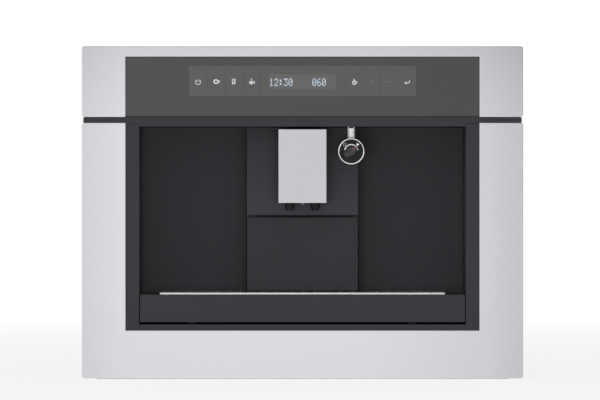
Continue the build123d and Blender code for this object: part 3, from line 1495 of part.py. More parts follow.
# ---------------------------------------------------------------- pump and boiler
PUMP_BACK = PUMP_FRONT + PUMP_L
PUMP_MID = (PUMP_FRONT + PUMP_BACK) / 2
with BuildPart() as pump:
    level(PUMP_X, PUMP_Z, PUMP_FRONT, PUMP_BACK, PUMP_R)
    block(
        PUMP_X - PUMP_COIL / 2,
        PUMP_X + PUMP_COIL / 2,
        PUMP_MID - PUMP_COIL_L / 2,
        PUMP_MID + PUMP_COIL_L / 2,
        PUMP_Z - PUMP_COIL / 2,
        PUMP_Z + PUMP_COIL / 2,
    )
    level(PUMP_X, PUMP_Z, PUMP_FRONT - PUMP_PORT_L, PUMP_BACK + PUMP_PORT_L, PUMP_PORT_R)
    for depth in (PUMP_FRONT + PUMP_PORT_L, PUMP_BACK - PUMP_PORT_L):
        block(
            PUMP_X - PUMP_R,
            PUMP_X + PUMP_R,
            depth - PUMP_PORT_L / 2,
            depth + PUMP_PORT_L / 2,
            PAN_FLOOR,
            PUMP_Z - PUMP_R / 2,
        )
save(pump.part, "pump")

BOILER_TOP = BOILER_UP + BOILER_H
BOILER_PORT_TOP = BOILER_TOP + PUMP_PORT_L
with BuildPart() as boiler:
    upright(BOILER_X, BOILER_DEPTH, BOILER_UP, BOILER_TOP, BOILER_R)
    chamfer(boiler.faces().sort_by(Axis.Z)[-1].edges(), BOILER_R / 8)
    upright(
        BOILER_X,
        BOILER_DEPTH,
        BOILER_UP + BOILER_H / 2 - GRIND_FLOOR / 2,
        BOILER_UP + BOILER_H / 2 + GRIND_FLOOR / 2,
        BOILER_R + GRIND_FLOOR,
    )
    for n in (-1, 0, 1):
        upright(BOILER_X + n * BOILER_PORT_X, BOILER_DEPTH, BOILER_TOP, BOILER_PORT_TOP, PUMP_PORT_R)
    with Locations((BOILER_X, FRONT + BOILER_DEPTH, (PAN_FLOOR + BOILER_UP) / 2)):
        with PolarLocations(BOILER_R - 3 * PUMP_PORT_R, 3):
            Cylinder(PUMP_PORT_R, BOILER_UP - PAN_FLOOR)
save(boiler.part, "boiler")

# ---------------------------------------------------------------- hoses
SPIGOT_LOW = TANK_UP - SPIGOT_H
BREW_PORT_DEPTH = BREW_DEPTH - BREW_PORT_OFF
PRESSURE_X = BOILER_X - BOILER_PORT_X - BOILER_R
HOSE_FRONT = BULKHEAD_BACK + HOSE_OFF
hose_routes = [
    [
        (TANK_X, TANK_MID, SPIGOT_LOW - RUN),
        (TANK_X, TANK_MID, PUMP_Z),
        (TANK_X, PUMP_BACK + PUMP_PORT_L, PUMP_Z),
    ],
    [
        (PUMP_X, PUMP_FRONT - PUMP_PORT_L, PUMP_Z),
        (PUMP_X, HOSE_FRONT, PUMP_Z),
        (PRESSURE_X, HOSE_FRONT, PUMP_Z),
        (PRESSURE_X, BOILER_DEPTH, PUMP_Z),
        (PRESSURE_X, BOILER_DEPTH, BOILER_PORT_TOP + 4 * HOSE_BEND),
        (BOILER_X - BOILER_PORT_X, BOILER_DEPTH, BOILER_PORT_TOP + 4 * HOSE_BEND),
        (BOILER_X - BOILER_PORT_X, BOILER_DEPTH, BOILER_PORT_TOP),
    ],
    [
        (BOILER_X, BOILER_DEPTH, BOILER_PORT_TOP),
        (BOILER_X, BOILER_DEPTH, BREW_PORT_Z),
        (BOILER_X, BREW_PORT_DEPTH, BREW_PORT_Z),
        (BREW_PORT_X, BREW_PORT_DEPTH, BREW_PORT_Z),
    ],
    [
        (BOILER_X + BOILER_PORT_X, BOILER_DEPTH, BOILER_PORT_TOP),
        (BOILER_X + BOILER_PORT_X, BOILER_DEPTH, HOSE_TOP_Z),
        (BOILER_X, BOILER_DEPTH - 4 * HOSE_BEND, HOSE_TOP_Z),
        (BOILER_X, STEAM_DEPTH, HOSE_TOP_Z),
        (STEAM_X, STEAM_DEPTH, HOSE_TOP_Z),
        (STEAM_X, STEAM_DEPTH, CEILING_Z + STEM_ABOVE),
    ],
]
hose_tubes = []
for route in hose_routes:
    points = [Vector(x, FRONT + depth, z) for x, depth, z in route]
    with BuildPart() as hose:
        with BuildLine() as run:
            FilletPolyline(*points, radius=HOSE_BEND)
        with BuildSketch(Plane(origin=points[0], z_dir=points[1] - points[0])):
            Circle(HOSE_R)
        sweep()
    hose_tubes.append(hose.part)
with BuildPart() as hoses:
    add(hose_tubes)
save(hoses.part, "hoses")

# ---------------------------------------------------------------- power board
# The parts on it: a transformer, a relay, a row of power switches, a plug strip, two capacitors.
board_parts = [
    (40.0, 45.0, 50.0, 42.0, 34.0),
    (110.0, 40.0, 30.0, 40.0, 20.0),
    (60.0, 110.0, 70.0, 30.0, 8.0),
    (60.0, 160.0, 90.0, 20.0, 12.0),
]
with BuildPart() as power_board:
    block(BOARD_X, BOARD_X + BOARD_T, BOARD_FRONT, BOARD_FRONT + BOARD_L, BOARD_UP, BOARD_UP + BOARD_H)
    for depth in (BOARD_FRONT + FLANGE, BOARD_FRONT + BOARD_L - FLANGE):
        for z in (BOARD_UP + FLANGE, BOARD_UP + BOARD_H - FLANGE):
            across(BOARD_X + BOARD_T, SIDE_INNER, depth, z, SCREW_HEAD_R)
    for along, up, length, height, tall in board_parts:
        block(
            BOARD_X - tall,
            BOARD_X,
            BOARD_FRONT + along - length / 2,
            BOARD_FRONT + along + length / 2,
            BOARD_UP + up - height / 2,
            BOARD_UP + up + height / 2,
        )
    for n in (0, 1):
        across(
            BOARD_X - CAP_H,
            BOARD_X,
            BOARD_FRONT + CAP_ALONG,
            BOARD_UP + CAP_UP + n * CAP_PITCH,
            CAP_R,
        )
save(power_board.part, "power_board")

# ---------------------------------------------------------------- mains inlet and switch
FLANGE_BACK = CHASSIS_BACK + INLET_FLANGE_T
BODY_X0 = INLET_X - INLET_W / 2 + FLANGE / 2 + FIT
BODY_X1 = INLET_X + INLET_W / 2 - FLANGE / 2 - FIT
SOCKET_X = BODY_X1 - INLET_WALL - SOCKET_W / 2
ROCKER_X = BODY_X0 + INLET_WALL + ROCKER_PIVOT_L + ROCKER_W / 2
ROCKER_AXIS_DEPTH = FLANGE_BACK - ROCKER_T / 2
with BuildPart() as mains_inlet:
    block(
        INLET_X - INLET_W / 2,
        INLET_X + INLET_W / 2,
        CHASSIS_BACK,
        FLANGE_BACK,
        INLET_Z - INLET_H / 2,
        INLET_Z + INLET_H / 2,
    )
    block(
        BODY_X0,
        BODY_X1,
        CHASSIS_BACK - INLET_BODY_D,
        CHASSIS_BACK,
        INLET_Z - INLET_H / 2 + SHEET + FIT,
        INLET_Z + INLET_H / 2 - SHEET - FIT,
    )
    block(
        SOCKET_X - SOCKET_W / 2,
        SOCKET_X + SOCKET_W / 2,
        FLANGE_BACK - SOCKET_D,
        FLANGE_BACK,
        INLET_Z - SOCKET_H / 2,
        INLET_Z + SOCKET_H / 2,
        Mode.SUBTRACT,
    )
    for n in (-1, 0, 1):
        middle = SOCKET_X + n * BLADE_PITCH
        rise = 0 if n else SOCKET_H / 4
        block(
            middle - BLADE_T / 2,
            middle + BLADE_T / 2,
            FLANGE_BACK - SOCKET_D,
            FLANGE_BACK - SOCKET_D / 3,
            INLET_Z + rise - BLADE_W / 2,
            INLET_Z + rise + BLADE_W / 2,
        )
    block(
        ROCKER_X - ROCKER_W / 2 - FIT,
        ROCKER_X + ROCKER_W / 2 + FIT,
        FLANGE_BACK - ROCKER_T - ROCKER_H / 6,
        FLANGE_BACK,
        INLET_Z - ROCKER_H / 2 - FIT,
        INLET_Z + ROCKER_H / 2 + FIT,
        Mode.SUBTRACT,
    )
    across(
        ROCKER_X - ROCKER_W / 2 - ROCKER_PIVOT_L,
        ROCKER_X + ROCKER_W / 2 + ROCKER_PIVOT_L,
        ROCKER_AXIS_DEPTH,
        INLET_Z,
        ROCKER_PIVOT_R + FIT,
        Mode.SUBTRACT,
    )
save(mains_inlet.part, "mains_inlet")

with BuildPart() as switch_rocker:
    with BuildSketch(Plane.YZ.offset(ROCKER_X - ROCKER_W / 2)):
        Polygon(
            (FRONT + FLANGE_BACK - ROCKER_T / 2, INLET_Z - ROCKER_H / 2 + ROCKER_DISH / 2),
            (FRONT + FLANGE_BACK + ROCKER_DISH, INLET_Z - ROCKER_H / 2 + ROCKER_DISH),
            (FRONT + FLANGE_BACK - ROCKER_DISH / 2, INLET_Z),
            (FRONT + FLANGE_BACK + ROCKER_DISH, INLET_Z + ROCKER_H / 2 - ROCKER_DISH),
            (FRONT + FLANGE_BACK - ROCKER_T / 2, INLET_Z + ROCKER_H / 2 - ROCKER_DISH / 2),
            (FRONT + FLANGE_BACK - ROCKER_T, INLET_Z),
            align=None,
        )
    extrude(amount=ROCKER_W)
    across(
        ROCKER_X - ROCKER_W / 2 - ROCKER_PIVOT_L + FIT,
        ROCKER_X + ROCKER_W / 2 + ROCKER_PIVOT_L - FIT,
        ROCKER_AXIS_DEPTH,
        INLET_Z,
        ROCKER_PIVOT_R,
    )
save(switch_rocker.part, "switch_rocker")
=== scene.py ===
import math

import bpy
import numpy as np
from bpy.props import FloatProperty, FloatVectorProperty, IntProperty, PointerProperty
from bpy.types import Operator, Panel, PropertyGroup
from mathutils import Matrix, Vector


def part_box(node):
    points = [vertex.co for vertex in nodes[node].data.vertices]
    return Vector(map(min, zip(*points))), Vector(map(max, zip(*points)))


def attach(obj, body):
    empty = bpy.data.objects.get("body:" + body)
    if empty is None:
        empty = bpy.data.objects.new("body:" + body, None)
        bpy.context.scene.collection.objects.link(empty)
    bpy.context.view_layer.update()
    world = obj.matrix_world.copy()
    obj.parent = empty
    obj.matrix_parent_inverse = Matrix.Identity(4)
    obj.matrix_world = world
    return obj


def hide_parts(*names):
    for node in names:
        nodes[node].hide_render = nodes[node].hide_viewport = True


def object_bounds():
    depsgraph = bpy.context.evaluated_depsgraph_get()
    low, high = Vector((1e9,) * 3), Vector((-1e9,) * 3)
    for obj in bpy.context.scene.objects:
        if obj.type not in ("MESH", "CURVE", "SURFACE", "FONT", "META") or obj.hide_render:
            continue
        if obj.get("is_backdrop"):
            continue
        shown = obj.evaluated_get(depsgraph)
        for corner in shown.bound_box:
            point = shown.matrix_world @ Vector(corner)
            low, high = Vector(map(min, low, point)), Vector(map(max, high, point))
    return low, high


bl_info = {
    "name": "Built-in coffee machine",
    "version": (1, 0, 0),
    "blender": (4, 5, 0),
    "location": "View3D > Sidebar > Coffee machine",
    "description": "Finishes and fine detail for a built-in coffee machine",
    "category": "Object",
}

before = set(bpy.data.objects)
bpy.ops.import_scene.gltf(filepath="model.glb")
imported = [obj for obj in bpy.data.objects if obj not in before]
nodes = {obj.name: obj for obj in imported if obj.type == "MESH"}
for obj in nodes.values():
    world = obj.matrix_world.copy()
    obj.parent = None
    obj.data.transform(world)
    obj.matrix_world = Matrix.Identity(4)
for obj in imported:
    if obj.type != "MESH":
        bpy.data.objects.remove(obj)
cad_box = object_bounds()

MM = 0.001

# The photograph's frame: 600 by 400 pixels, straight on, metres per pixel at the fascia's face.
PIXEL = 1.3486e-3
IMAGE_W = 600
IMAGE_H = 400
MIDDLE_PX = 302.5               # column of the fascia's middle
FOOT_PY = 378.4                 # row of the fascia's lower edge
FOOT_Z = 0.002                  # height of that edge
FACE_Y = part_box("fascia_lower")[0].y
GLASS_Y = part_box("control_glass")[0].y
CAMERA_AWAY = 5.2               # from the fascia's face, in metres
SENSOR_W = 36.0                 # of the camera, in millimetres


def at_pixel(px, py):
    """Place on the fascia's plane (x, z) of a pixel of the photograph, in metres."""
    return (px - MIDDLE_PX) * PIXEL, (FOOT_PY - py) * PIXEL + FOOT_Z


# ---- settings
COLOUR = {"subtype": "COLOR", "size": 3, "min": 0, "max": 1}
LENGTH = {"unit": "LENGTH", "subtype": "DISTANCE"}


class SteelSettings(PropertyGroup):
    colour: FloatVectorProperty(name="Steel", description="Tone of the brushed steel",
                                default=(0.8, 0.8, 0.839), **COLOUR)
    roughness: FloatProperty(name="Roughness", description="How soft the brushed steel reflects",
                             default=0.34, min=0.05, max=1)
    grain: FloatProperty(name="Grain", description="Depth of the brush lines", default=0.000012,
                         precision=6, **LENGTH)
    # The drift is painted shade in the fascia's colour, darker towards its ends and top, for
    # reflections that fall off.
    drift: FloatProperty(name="Drift", description="How much duller the fascia is towards its ends",
                         default=0.09, min=0, max=0.5)
    polished: FloatVectorProperty(name="Polished steel", default=(0.82, 0.82, 0.84),
                                  description="Tone of ring, stem and grille", **COLOUR)


class PanelSettings(PropertyGroup):
    glass: FloatVectorProperty(name="Glass", description="Print behind the control glass",
                               default=(0.0455, 0.0455, 0.049), **COLOUR)
    field: FloatVectorProperty(name="Touch field", description="Lighter field of the touch keys",
                               default=(0.0805, 0.0805, 0.083), **COLOUR)
    icon: FloatVectorProperty(name="Icons", description="Print of the key icons",
                              default=(0.7, 0.71, 0.72), **COLOUR)
    lit: FloatVectorProperty(name="Display", description="Colour of the lit dots",
                             default=(0.6, 0.7, 0.8), **COLOUR)
    dot_pitch: FloatProperty(name="Dot pitch", description="Distance of the display's dots, across",
                             default=0.00107, precision=5, **LENGTH)


class NicheSettings(PropertyGroup):
    colour: FloatVectorProperty(name="Mouldings", description="Dark mouldings of the niche",
                                default=(0.043, 0.044, 0.049), **COLOUR)
    roughness: FloatProperty(name="Roughness", description="Sheen of the dark mouldings",
                             default=0.5, min=0.05, max=1)


class DialSettings(PropertyGroup):
    arc_radius: FloatProperty(name="Arc radius", description="Radius of the dial's white arc",
                              default=0.009, precision=4, **LENGTH)
    arc_width: FloatProperty(name="Arc width", description="Width of the dial's white arc",
                             default=0.0014, precision=4, **LENGTH)
    index: FloatVectorProperty(name="Index", description="Index line on the knob",
                               default=(0.36, 0.045, 0.085), **COLOUR)


class InsideSettings(PropertyGroup):
    sheet: FloatVectorProperty(name="Sheet", description="Zinc-plated sheet",
                               default=(0.56, 0.57, 0.58), **COLOUR)
    screw_slots: IntProperty(name="Recess arms", default=4, min=2, max=6,
                             description="Arms of the recess in each screw head")
    thread_lead: FloatProperty(name="Thread lead", description="Travel of the brew piston per turn",
                               default=0.008, precision=4, **LENGTH)
    thread_starts: IntProperty(name="Thread starts", default=4, min=1, max=8,
                               description="Starts of the brew spindle's thread")


class StageSettings(PropertyGroup):
    key: FloatProperty(name="Key light", description="Power of the large light", unit="POWER",
                       default=8.0, min=0)
    fill: FloatProperty(name="Fill light", description="Power of the side light", unit="POWER",
                        default=3.0, min=0)
    sky: FloatProperty(name="Surroundings", description="Light of the plain white room",
                       default=0.5, min=0)


# ---- shader expressions
def math_node(operation, swap=False):
    """A method that adds a Math node for a value and what it meets."""
    def method(self, *others):
        parts = (*others, self) if swap else (self, *others)
        return self.paint.node("ShaderNodeMath", {"operation": operation}, *parts)
    return method


class Value:
    """A socket of a node tree. Sums and products with it add the Math nodes they need."""

    def __init__(self, paint, socket):
        self.paint = paint
        self.socket = socket

    __add__ = __radd__ = math_node("ADD")
    __sub__ = math_node("SUBTRACT")
    __rsub__ = math_node("SUBTRACT", swap=True)
    __mul__ = __rmul__ = math_node("MULTIPLY")
    __truediv__ = math_node("DIVIDE")
    __gt__ = math_node("GREATER_THAN")
    __lt__ = math_node("LESS_THAN")
    __abs__ = math_node("ABSOLUTE")
    most = math_node("MAXIMUM")
    least = math_node("MINIMUM")
    near = math_node("COMPARE")     # 1 where the value is within a reach of a place, 0 elsewhere


class Nodes:
    """A node tree, of a material or of the room, and the ways to add to it."""

    def __init__(self, tree):
        self.tree = tree

    def node(self, kind, settings, *values, out=0):
        """A node of any type: first its settings, then the value or link of each socket."""
        made = self.tree.nodes.new(kind)
        for word, value in settings.items():
            setattr(made, word, value)
        for place, value in enumerate(values):
            if isinstance(value, Value):
                self.tree.links.new(value.socket, made.inputs[place])
            elif value is not None:
                made.inputs[place].default_value = value
        return Value(self, made.outputs[out])

    def place(self, scale=(1, 1, 1)):
        """Object coordinates, stretched by a scale on each axis."""
        here = self.node("ShaderNodeTexCoord", {}, out=3)
        return self.node("ShaderNodeMapping", {}, here, None, None, scale)

    def axes(self, source=3):
        """x, y and z of the place in object coordinates, as three values."""
        here = self.node("ShaderNodeTexCoord", {}, out=source)
        split = self.node("ShaderNodeSeparateXYZ", {}, here).socket.node
        return [Value(self, split.outputs[n]) for n in range(3)]

    def noise(self, scale, detail=3.0, stretch=(1, 1, 1)):
        """Fractal noise from 0 to 1, stretched along an axis where its scale there is small."""
        return self.node("ShaderNodeTexNoise", {}, self.place(stretch), None, scale, detail, 0.55)

    def cells(self, scale, **settings):
        """Distance to the middles of scattered cells."""
        return self.node("ShaderNodeTexVoronoi", settings, self.place(), None, scale)

    def mix(self, share, first, second):
        """Colour between two colours."""
        made = self.tree.nodes.new("ShaderNodeMix")
        made.data_type = "RGBA"
        for place, value in ((0, share), (6, first), (7, second)):
            if isinstance(value, Value):
                self.tree.links.new(value.socket, made.inputs[place])
            else:
                made.inputs[place].default_value = value if place == 0 else (*value, 1)[:4]
        return Value(self, made.outputs[2])

    def rays(self, *words):
        """Which kinds of ray a place is seen by, one value for each kind."""
        path = self.tree.nodes.new("ShaderNodeLightPath")
        return [Value(self, path.outputs["Is " + word + " Ray"]) for word in words]


class Paint(Nodes):
    """One material: its node tree and the shader that its finish feeds."""

    def __init__(self, name, **constants):
        self.material = bpy.data.materials.new(name)
        self.material.use_nodes = True
        super().__init__(self.material.node_tree)
        self.shader = self.tree.nodes["Principled BSDF"]
        for word, value in constants.items():
            self.shader.inputs[word.replace("_", " ")].default_value = value

    def feed(self, **links):
        """Link values to the shader's sockets."""
        for word, value in links.items():
            self.tree.links.new(value.socket, self.shader.inputs[word.replace("_", " ")])
        return self

    def bumps(self, height, depth):
        """Feed the shader's normal from a height; depth is in metres."""
        made = self.tree.nodes.new("ShaderNodeBump")
        made.inputs["Strength"].default_value = 1.0
        made.inputs["Distance"].default_value = depth
        self.tree.links.new(height.socket, made.inputs["Height"])
        self.tree.links.new(made.outputs["Normal"], self.shader.inputs["Normal"])
        return self


def tint(colour, factor):
    """A colour made lighter or darker."""
    return tuple(min(1.0, part * factor) for part in colour[:3])


# Streaks of brushed metal, to the metre along each axis.
BRUSH = (18, 900, 2600)

# Where painted shade darkens the fascia's colour, in metres: off its middle, at both edges, to the
# right and to the top.
SHADE_MIDDLE_X, SHADE_SPAN = -0.02, 0.45
EDGE_X, EDGE_SPAN = 0.245, 0.05
RIGHT_X, RIGHT_SPAN, RIGHT_SHARE = 0.1, 0.14, 0.75
RISE_Z, RISE_SPAN = 0.3, 0.125


def brushed(name, colour, roughness, grain, spread=0.05, drift=0.0, hollow_shade=None, metal=1.0):
    """Brushed metal: long fine streaks along X in tone, roughness and relief. A drift is painted
    shade: it darkens the colour, for the room's reflections falling off, by a sum: the square of x
    from the middle, |x| past the edges, a ramp to the right and the square of z past the rise, each
    over its span. A hollow, a y and a z, is painted shade too: the colour is dark behind the one
    and under the other, where walls lie in shade."""
    paint = Paint(name, Metallic=metal)
    streaks = paint.noise(1.0, 2.0, BRUSH)
    clouds = paint.noise(3.0, 2.0)
    share = streaks * 0.75 + clouds * 0.25
    tone = paint.mix(share, tint(colour, 1 - spread), tint(colour, 1 + spread))
    # Painted shade: the drift darkens the steel's colour towards its ends, its right and its top.
    if drift:
        x, _, z = paint.axes()
        side = (x - SHADE_MIDDLE_X) / SHADE_SPAN
        edge = (abs(x) - EDGE_X).most(0.0) / EDGE_SPAN
        right = ((x - RIGHT_X) / RIGHT_SPAN).most(0.0).least(1.0) * RIGHT_SHARE
        rise = (z - RISE_Z).most(0.0) / RISE_SPAN
        tone = paint.mix((side * side + edge + right + rise * rise) * drift, tone, (0.0, 0.0, 0.0))
    # Painted shade: the colour goes dark inside the hollow, behind its y and under its z.
    if hollow_shade:
        _, y, z = paint.axes()
        tone = paint.mix((y > hollow_shade[0]) * (z < hollow_shade[1]), tone, tint(colour, 0.06))
    paint.feed(Base_Color=tone, Roughness=roughness - 0.05 + streaks * 0.1)
    return paint.bumps(streaks, grain)


def polished(name, colour, roughness=0.07, metal=1.0):
    """Polished metal with faint hazy wipes; a lower metal makes it satin."""
    paint = Paint(name, Metallic=metal)
    haze = paint.noise(40.0, 4.0)
    paint.feed(
        Base_Color=paint.mix(haze, tint(colour, 0.97), tint(colour, 1.02)),
        Roughness=roughness - 0.02 + haze * 0.05,
    )
    return paint


def moulded(name, colour, roughness, relief=0.00003, pebble=2600.0, gloss=0.35, fade=None):
    """Moulded plastic: a fine spark-eroded skin, a slow drift of tone and of sheen. A fade, two
    heights and a factor, is painted light: it makes the colour lighter from the upper height down
    to the lower one."""
    paint = Paint(name, Specular_IOR_Level=gloss)
    skin = paint.noise(pebble, 2.0)
    drift = paint.noise(7.0, 3.0)
    tone = paint.mix(drift, tint(colour, 0.9), tint(colour, 1.1))
    # Painted light: the colour is lighter towards the lower height.
    if fade:
        low, high, lift = fade
        share = ((high - paint.axes()[2]) / (high - low)).most(0.0).least(1.0)
        tone = paint.mix(share, tone, tint(colour, lift))
    paint.feed(Base_Color=tone, Roughness=roughness - 0.06 + drift * 0.06 + skin * 0.06)
    return paint.bumps(skin, relief)


def zinc_sheet(name, colour):
    """Zinc-plated sheet: large soft crystals in tone and sheen, and the mill's faint lines."""
    paint = Paint(name, Metallic=1.0)
    crystals = paint.cells(85.0, feature="SMOOTH_F1")
    lines = paint.noise(1.0, 2.0, (40, 40, 900))
    share = crystals * 0.7 + lines * 0.4
    paint.feed(
        Base_Color=paint.mix(share, tint(colour, 0.88), tint(colour, 1.1)),
        Roughness=0.36 + crystals * 0.16,
    )
    return paint.bumps(lines, 0.00002)


def clear(name, colour, roughness=0.06, through=0.85):
    """Clear plastic with faint flow lines in its skin."""
    paint = Paint(name, IOR=1.49, Transmission_Weight=through)
    flow = paint.noise(9.0, 3.0, (1, 1, 0.25))
    paint.feed(
        Base_Color=paint.mix(flow, tint(colour, 0.95), tint(colour, 1.03)),
        Roughness=roughness + flow * 0.04,
    )
    return paint.bumps(flow, 0.0002)


def cast(name, colour):
    """Cast aluminium: a grainy dull skin with darker pores."""
    paint = Paint(name, Metallic=1.0)
    grains = paint.cells(700.0)
    drift = paint.noise(30.0, 4.0)
    paint.feed(
        Base_Color=paint.mix(grains * 0.6 + drift * 0.4, tint(colour, 0.8), tint(colour, 1.1)),
        Roughness=0.42 + drift * 0.16,
    )
    return paint.bumps(grains, 0.00012)


def printed(name, colour, roughness=0.4, glow=0.0):
    """Screen-printed ink: a slightly uneven film, which can be lit from behind."""
    paint = Paint(name, Specular_IOR_Level=0.4)
    film = paint.noise(1500.0, 2.0)
    ink = paint.mix(film, tint(colour, 0.92), tint(colour, 1.05))
    paint.feed(Base_Color=ink, Roughness=roughness - 0.05 + film * 0.1)
    if glow:
        paint.feed(Emission_Color=ink)
        paint.shader.inputs["Emission Strength"].default_value = glow
    return paint.bumps(film, 0.00001)


def circuit_board(name, colour):
    """Solder resist over copper tracks: a brick pattern gives the tracks, cells the pads."""
    paint = Paint(name, Specular_IOR_Level=0.5)
    x, y, z = paint.axes()
    along = paint.node("ShaderNodeCombineXYZ", {}, x + y, z, 0.0)
    tracks = paint.node("ShaderNodeTexBrick", {"offset": 0.37, "squash": 1.6}, along, (0, 0, 0, 1),
                        (0, 0, 0, 1), (1, 1, 1, 1), 160.0, 0.09, 0.3, 0.0, 1.4, 0.3, out=1)
    pads = paint.node("ShaderNodeTexVoronoi", {}, along, None, 230.0) < 0.17
    resist = paint.mix(tracks * 0.8, tint(colour, 0.8), tint(colour, 1.8))
    paint.feed(
        Base_Color=paint.mix(pads, resist, (0.62, 0.6, 0.55)),
        Roughness=0.34 + tracks * 0.1,
        Metallic=pads * 0.9,
    )
    return paint.bumps(tracks.most(pads), 0.00004)


def finish(paint, *names):
    """Give a finish to CAD nodes."""
    for name in names:
        slots = nodes[name].data.materials
        slots.clear()
        slots.append(paint.material)


# ---- surfaces
TIP_R = 0.1 * MM                # smallest radius of a turned piece, at its tip


def joined(parts):
    """Several (points, faces) surfaces as one; each one's faces are counted on from the last."""
    points, faces, start = [], [], 0
    for part_points, part_faces in parts:
        points.append(part_points)
        faces.extend(tuple(n + start for n in face) for face in part_faces)
        start += len(part_points)
    return np.concatenate(points), faces


def placed(name, data):
    """A new object, in the scene."""
    thing = bpy.data.objects.new(name, data)
    bpy.context.scene.collection.objects.link(thing)
    return thing


def piece(name, surface, paint, body, smooth=False, edge=35.0, stands_for=()):
    """A named mesh object from (points, faces), finished, on its body."""
    points, faces = surface
    mesh = bpy.data.meshes.new(name)
    mesh.from_pydata(np.asarray(points, float).tolist(), [], faces)
    mesh.materials.append(paint.material)
    mesh.validate()
    mesh.update()
    thing = placed(name, mesh)
    if smooth:
        mesh.shade_smooth()
        mesh.set_sharp_from_angle(angle=math.radians(edge))
    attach(thing, body)
    if stands_for:
        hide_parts(*stands_for)


def grid_faces(rows, columns, closed=True):
    """Quads of a grid of points in rows; closed joins its last column to its first."""
    across = np.arange(columns if closed else columns - 1)
    after = (across + 1) % columns
    low = np.arange(rows - 1)[:, None] * columns
    return np.stack((low + across, low + after, low + columns + after, low + columns + across),
                    -1).reshape(-1, 4)


def swept(rings, flip=False):
    """A skin over an array of closed rings (rings, points, 3), its two ends filled flat."""
    rings = np.asarray(rings, float)
    rows, columns = rings.shape[:2]
    faces = [tuple(face) for face in grid_faces(rows, columns).tolist()]
    faces.append(tuple(range(columns))[::-1])
    faces.append(tuple(range((rows - 1) * columns, rows * columns)))
    if flip:
        faces = [face[::-1] for face in faces]
    return rings.reshape(-1, 3), faces


def circle(count):
    """Angles of evenly spaced points round a full circle."""
    return np.linspace(0, 2 * math.pi, count, endpoint=False)


def rings_round(origin, axis, r, h, t):
    """Rings about an axis: origin + h*axis + r*(cos t * u + sin t * v), u and v square to it."""
    axis = np.asarray(axis, float)
    u = np.cross(axis, (0, 0, 1) if abs(axis[2]) < 0.5 else (1, 0, 0))
    u /= np.linalg.norm(u)
    v = np.cross(axis, u)
    ways = np.cos(t)[:, None] * u + np.sin(t)[:, None] * v
    return np.asarray(origin, float) + h[..., None] * axis + r[..., None] * ways


def turned(profile, origin, axis=(0, 0, 1), count=64):
    """A turned solid: one ring for each (radius, height) of the profile."""
    r, h = np.asarray(profile, float).T
    return swept(rings_round(origin, axis, r[:, None], h[:, None], circle(count)))


def tube(profile, origin, axis=(0, 0, 1), count=64):
    """A turned ring: the profile is a closed loop of (r, h), so the skin closes on itself."""
    profile = list(profile) + [profile[0]]
    points, faces = turned(profile, origin, axis, count)
    return points[:-count], [tuple(n % (len(points) - count) for n in face) for face in faces[:-2]]


def softened(profile, radius, steps=5):
    """A profile with each corner between its ends rounded by a quadratic curve from leg to leg."""
    profile = np.asarray(profile, float)
    s = np.linspace(0, 1, steps)[:, None]
    out = [profile[:1]]
    for before, corner, after in zip(profile, profile[1:], profile[2:]):
        start = corner + (before - corner) / np.linalg.norm(before - corner) * radius
        end = corner + (after - corner) / np.linalg.norm(after - corner) * radius
        out.append((1 - s) ** 2 * start + 2 * s * (1 - s) * corner + s ** 2 * end)
    return np.concatenate([*out, profile[-1:]]).tolist()


def upright(places, y):
    """Points (x, y, z) of places (x, z) at one depth y."""
    return np.stack((places[:, 0], np.full(len(places), y), places[:, 1]), 1)


def ribbon(path, width, front, thickness, closed=False):
    """A raised flat line in the plane of the fascia: the path's points moved half a width to each
    side along its normals, carried from its back face to its front one."""
    path = np.asarray(path, float)
    if closed:
        ahead = np.roll(path, -1, 0) - np.roll(path, 1, 0)
    else:
        ahead = np.gradient(path, axis=0)
    ahead /= np.linalg.norm(ahead, axis=1)[:, None]
    side = np.stack((-ahead[:, 1], ahead[:, 0]), 1) * width / 2
    left, right = path + side, path - side
    corners = ((left, front + thickness), (left, front), (right, front), (right, front + thickness))
    rings = np.stack([upright(places, y) for places, y in corners], 1)
    if closed:
        points = rings.reshape(-1, 3)
        faces = grid_faces(len(path) + 1, 4) % len(points)
        return points, [tuple(face)[::-1] for face in faces.tolist()]
    return swept(rings, flip=True)


def arc(centre, radius, start, end, count=24, squash=1.0):
    """Points of an arc between two angles in degrees, its height scaled by squash."""
    t = np.radians(np.linspace(start, end, count))
    return np.stack((centre[0] + radius * np.cos(t), centre[1] + radius * squash * np.sin(t)), 1)


def plate(outline, front, thickness):
    """A raised flat shape: an outline in (x, z) between its back face and its front one."""
    outline = np.asarray(outline, float)
    rings = [upright(outline, y) for y in (front + thickness, front)]
    following = np.roll(outline, -1, 0)
    area = np.sum(outline[:, 0] * following[:, 1] - following[:, 0] * outline[:, 1])
    return swept(rings, flip=area < 0)


def dot_field(places, width, height, front, thickness):
    """One small raised plate at each (x, z) place, all from one array of eight corners."""
    corner = np.array([(x, y, z) for y in (thickness, 0) for x, z in
                       ((-1, -1), (1, -1), (1, 1), (-1, 1))], float)
    corner = corner * (width / 2, 1, height / 2)
    points = (upright(np.asarray(places, float), front)[:, None] + corner[None]).reshape(-1, 3)
    sides = [(0, 3, 2, 1), (4, 5, 6, 7), (0, 1, 5, 4), (1, 2, 6, 5), (2, 3, 7, 6), (3, 0, 4, 7)]
    faces = (np.arange(len(places))[:, None, None] * 8 + np.array(sides)[None]).reshape(-1, 4)
    return points, [tuple(face) for face in faces.tolist()]


# Rows of a plain five by seven dot face, each row as five bits, for the signs that are shown.
DOT_FACE = {
    "0": (14, 17, 19, 21, 25, 17, 14), "1": (4, 12, 4, 4, 4, 4, 14), "2": (14, 17, 1, 2, 4, 8, 31),
    "3": (31, 2, 4, 2, 1, 17, 14), "6": (6, 8, 16, 30, 17, 17, 14), ":": (0, 12, 12, 0, 12, 12, 0),
    " ": (0,) * 7,
}


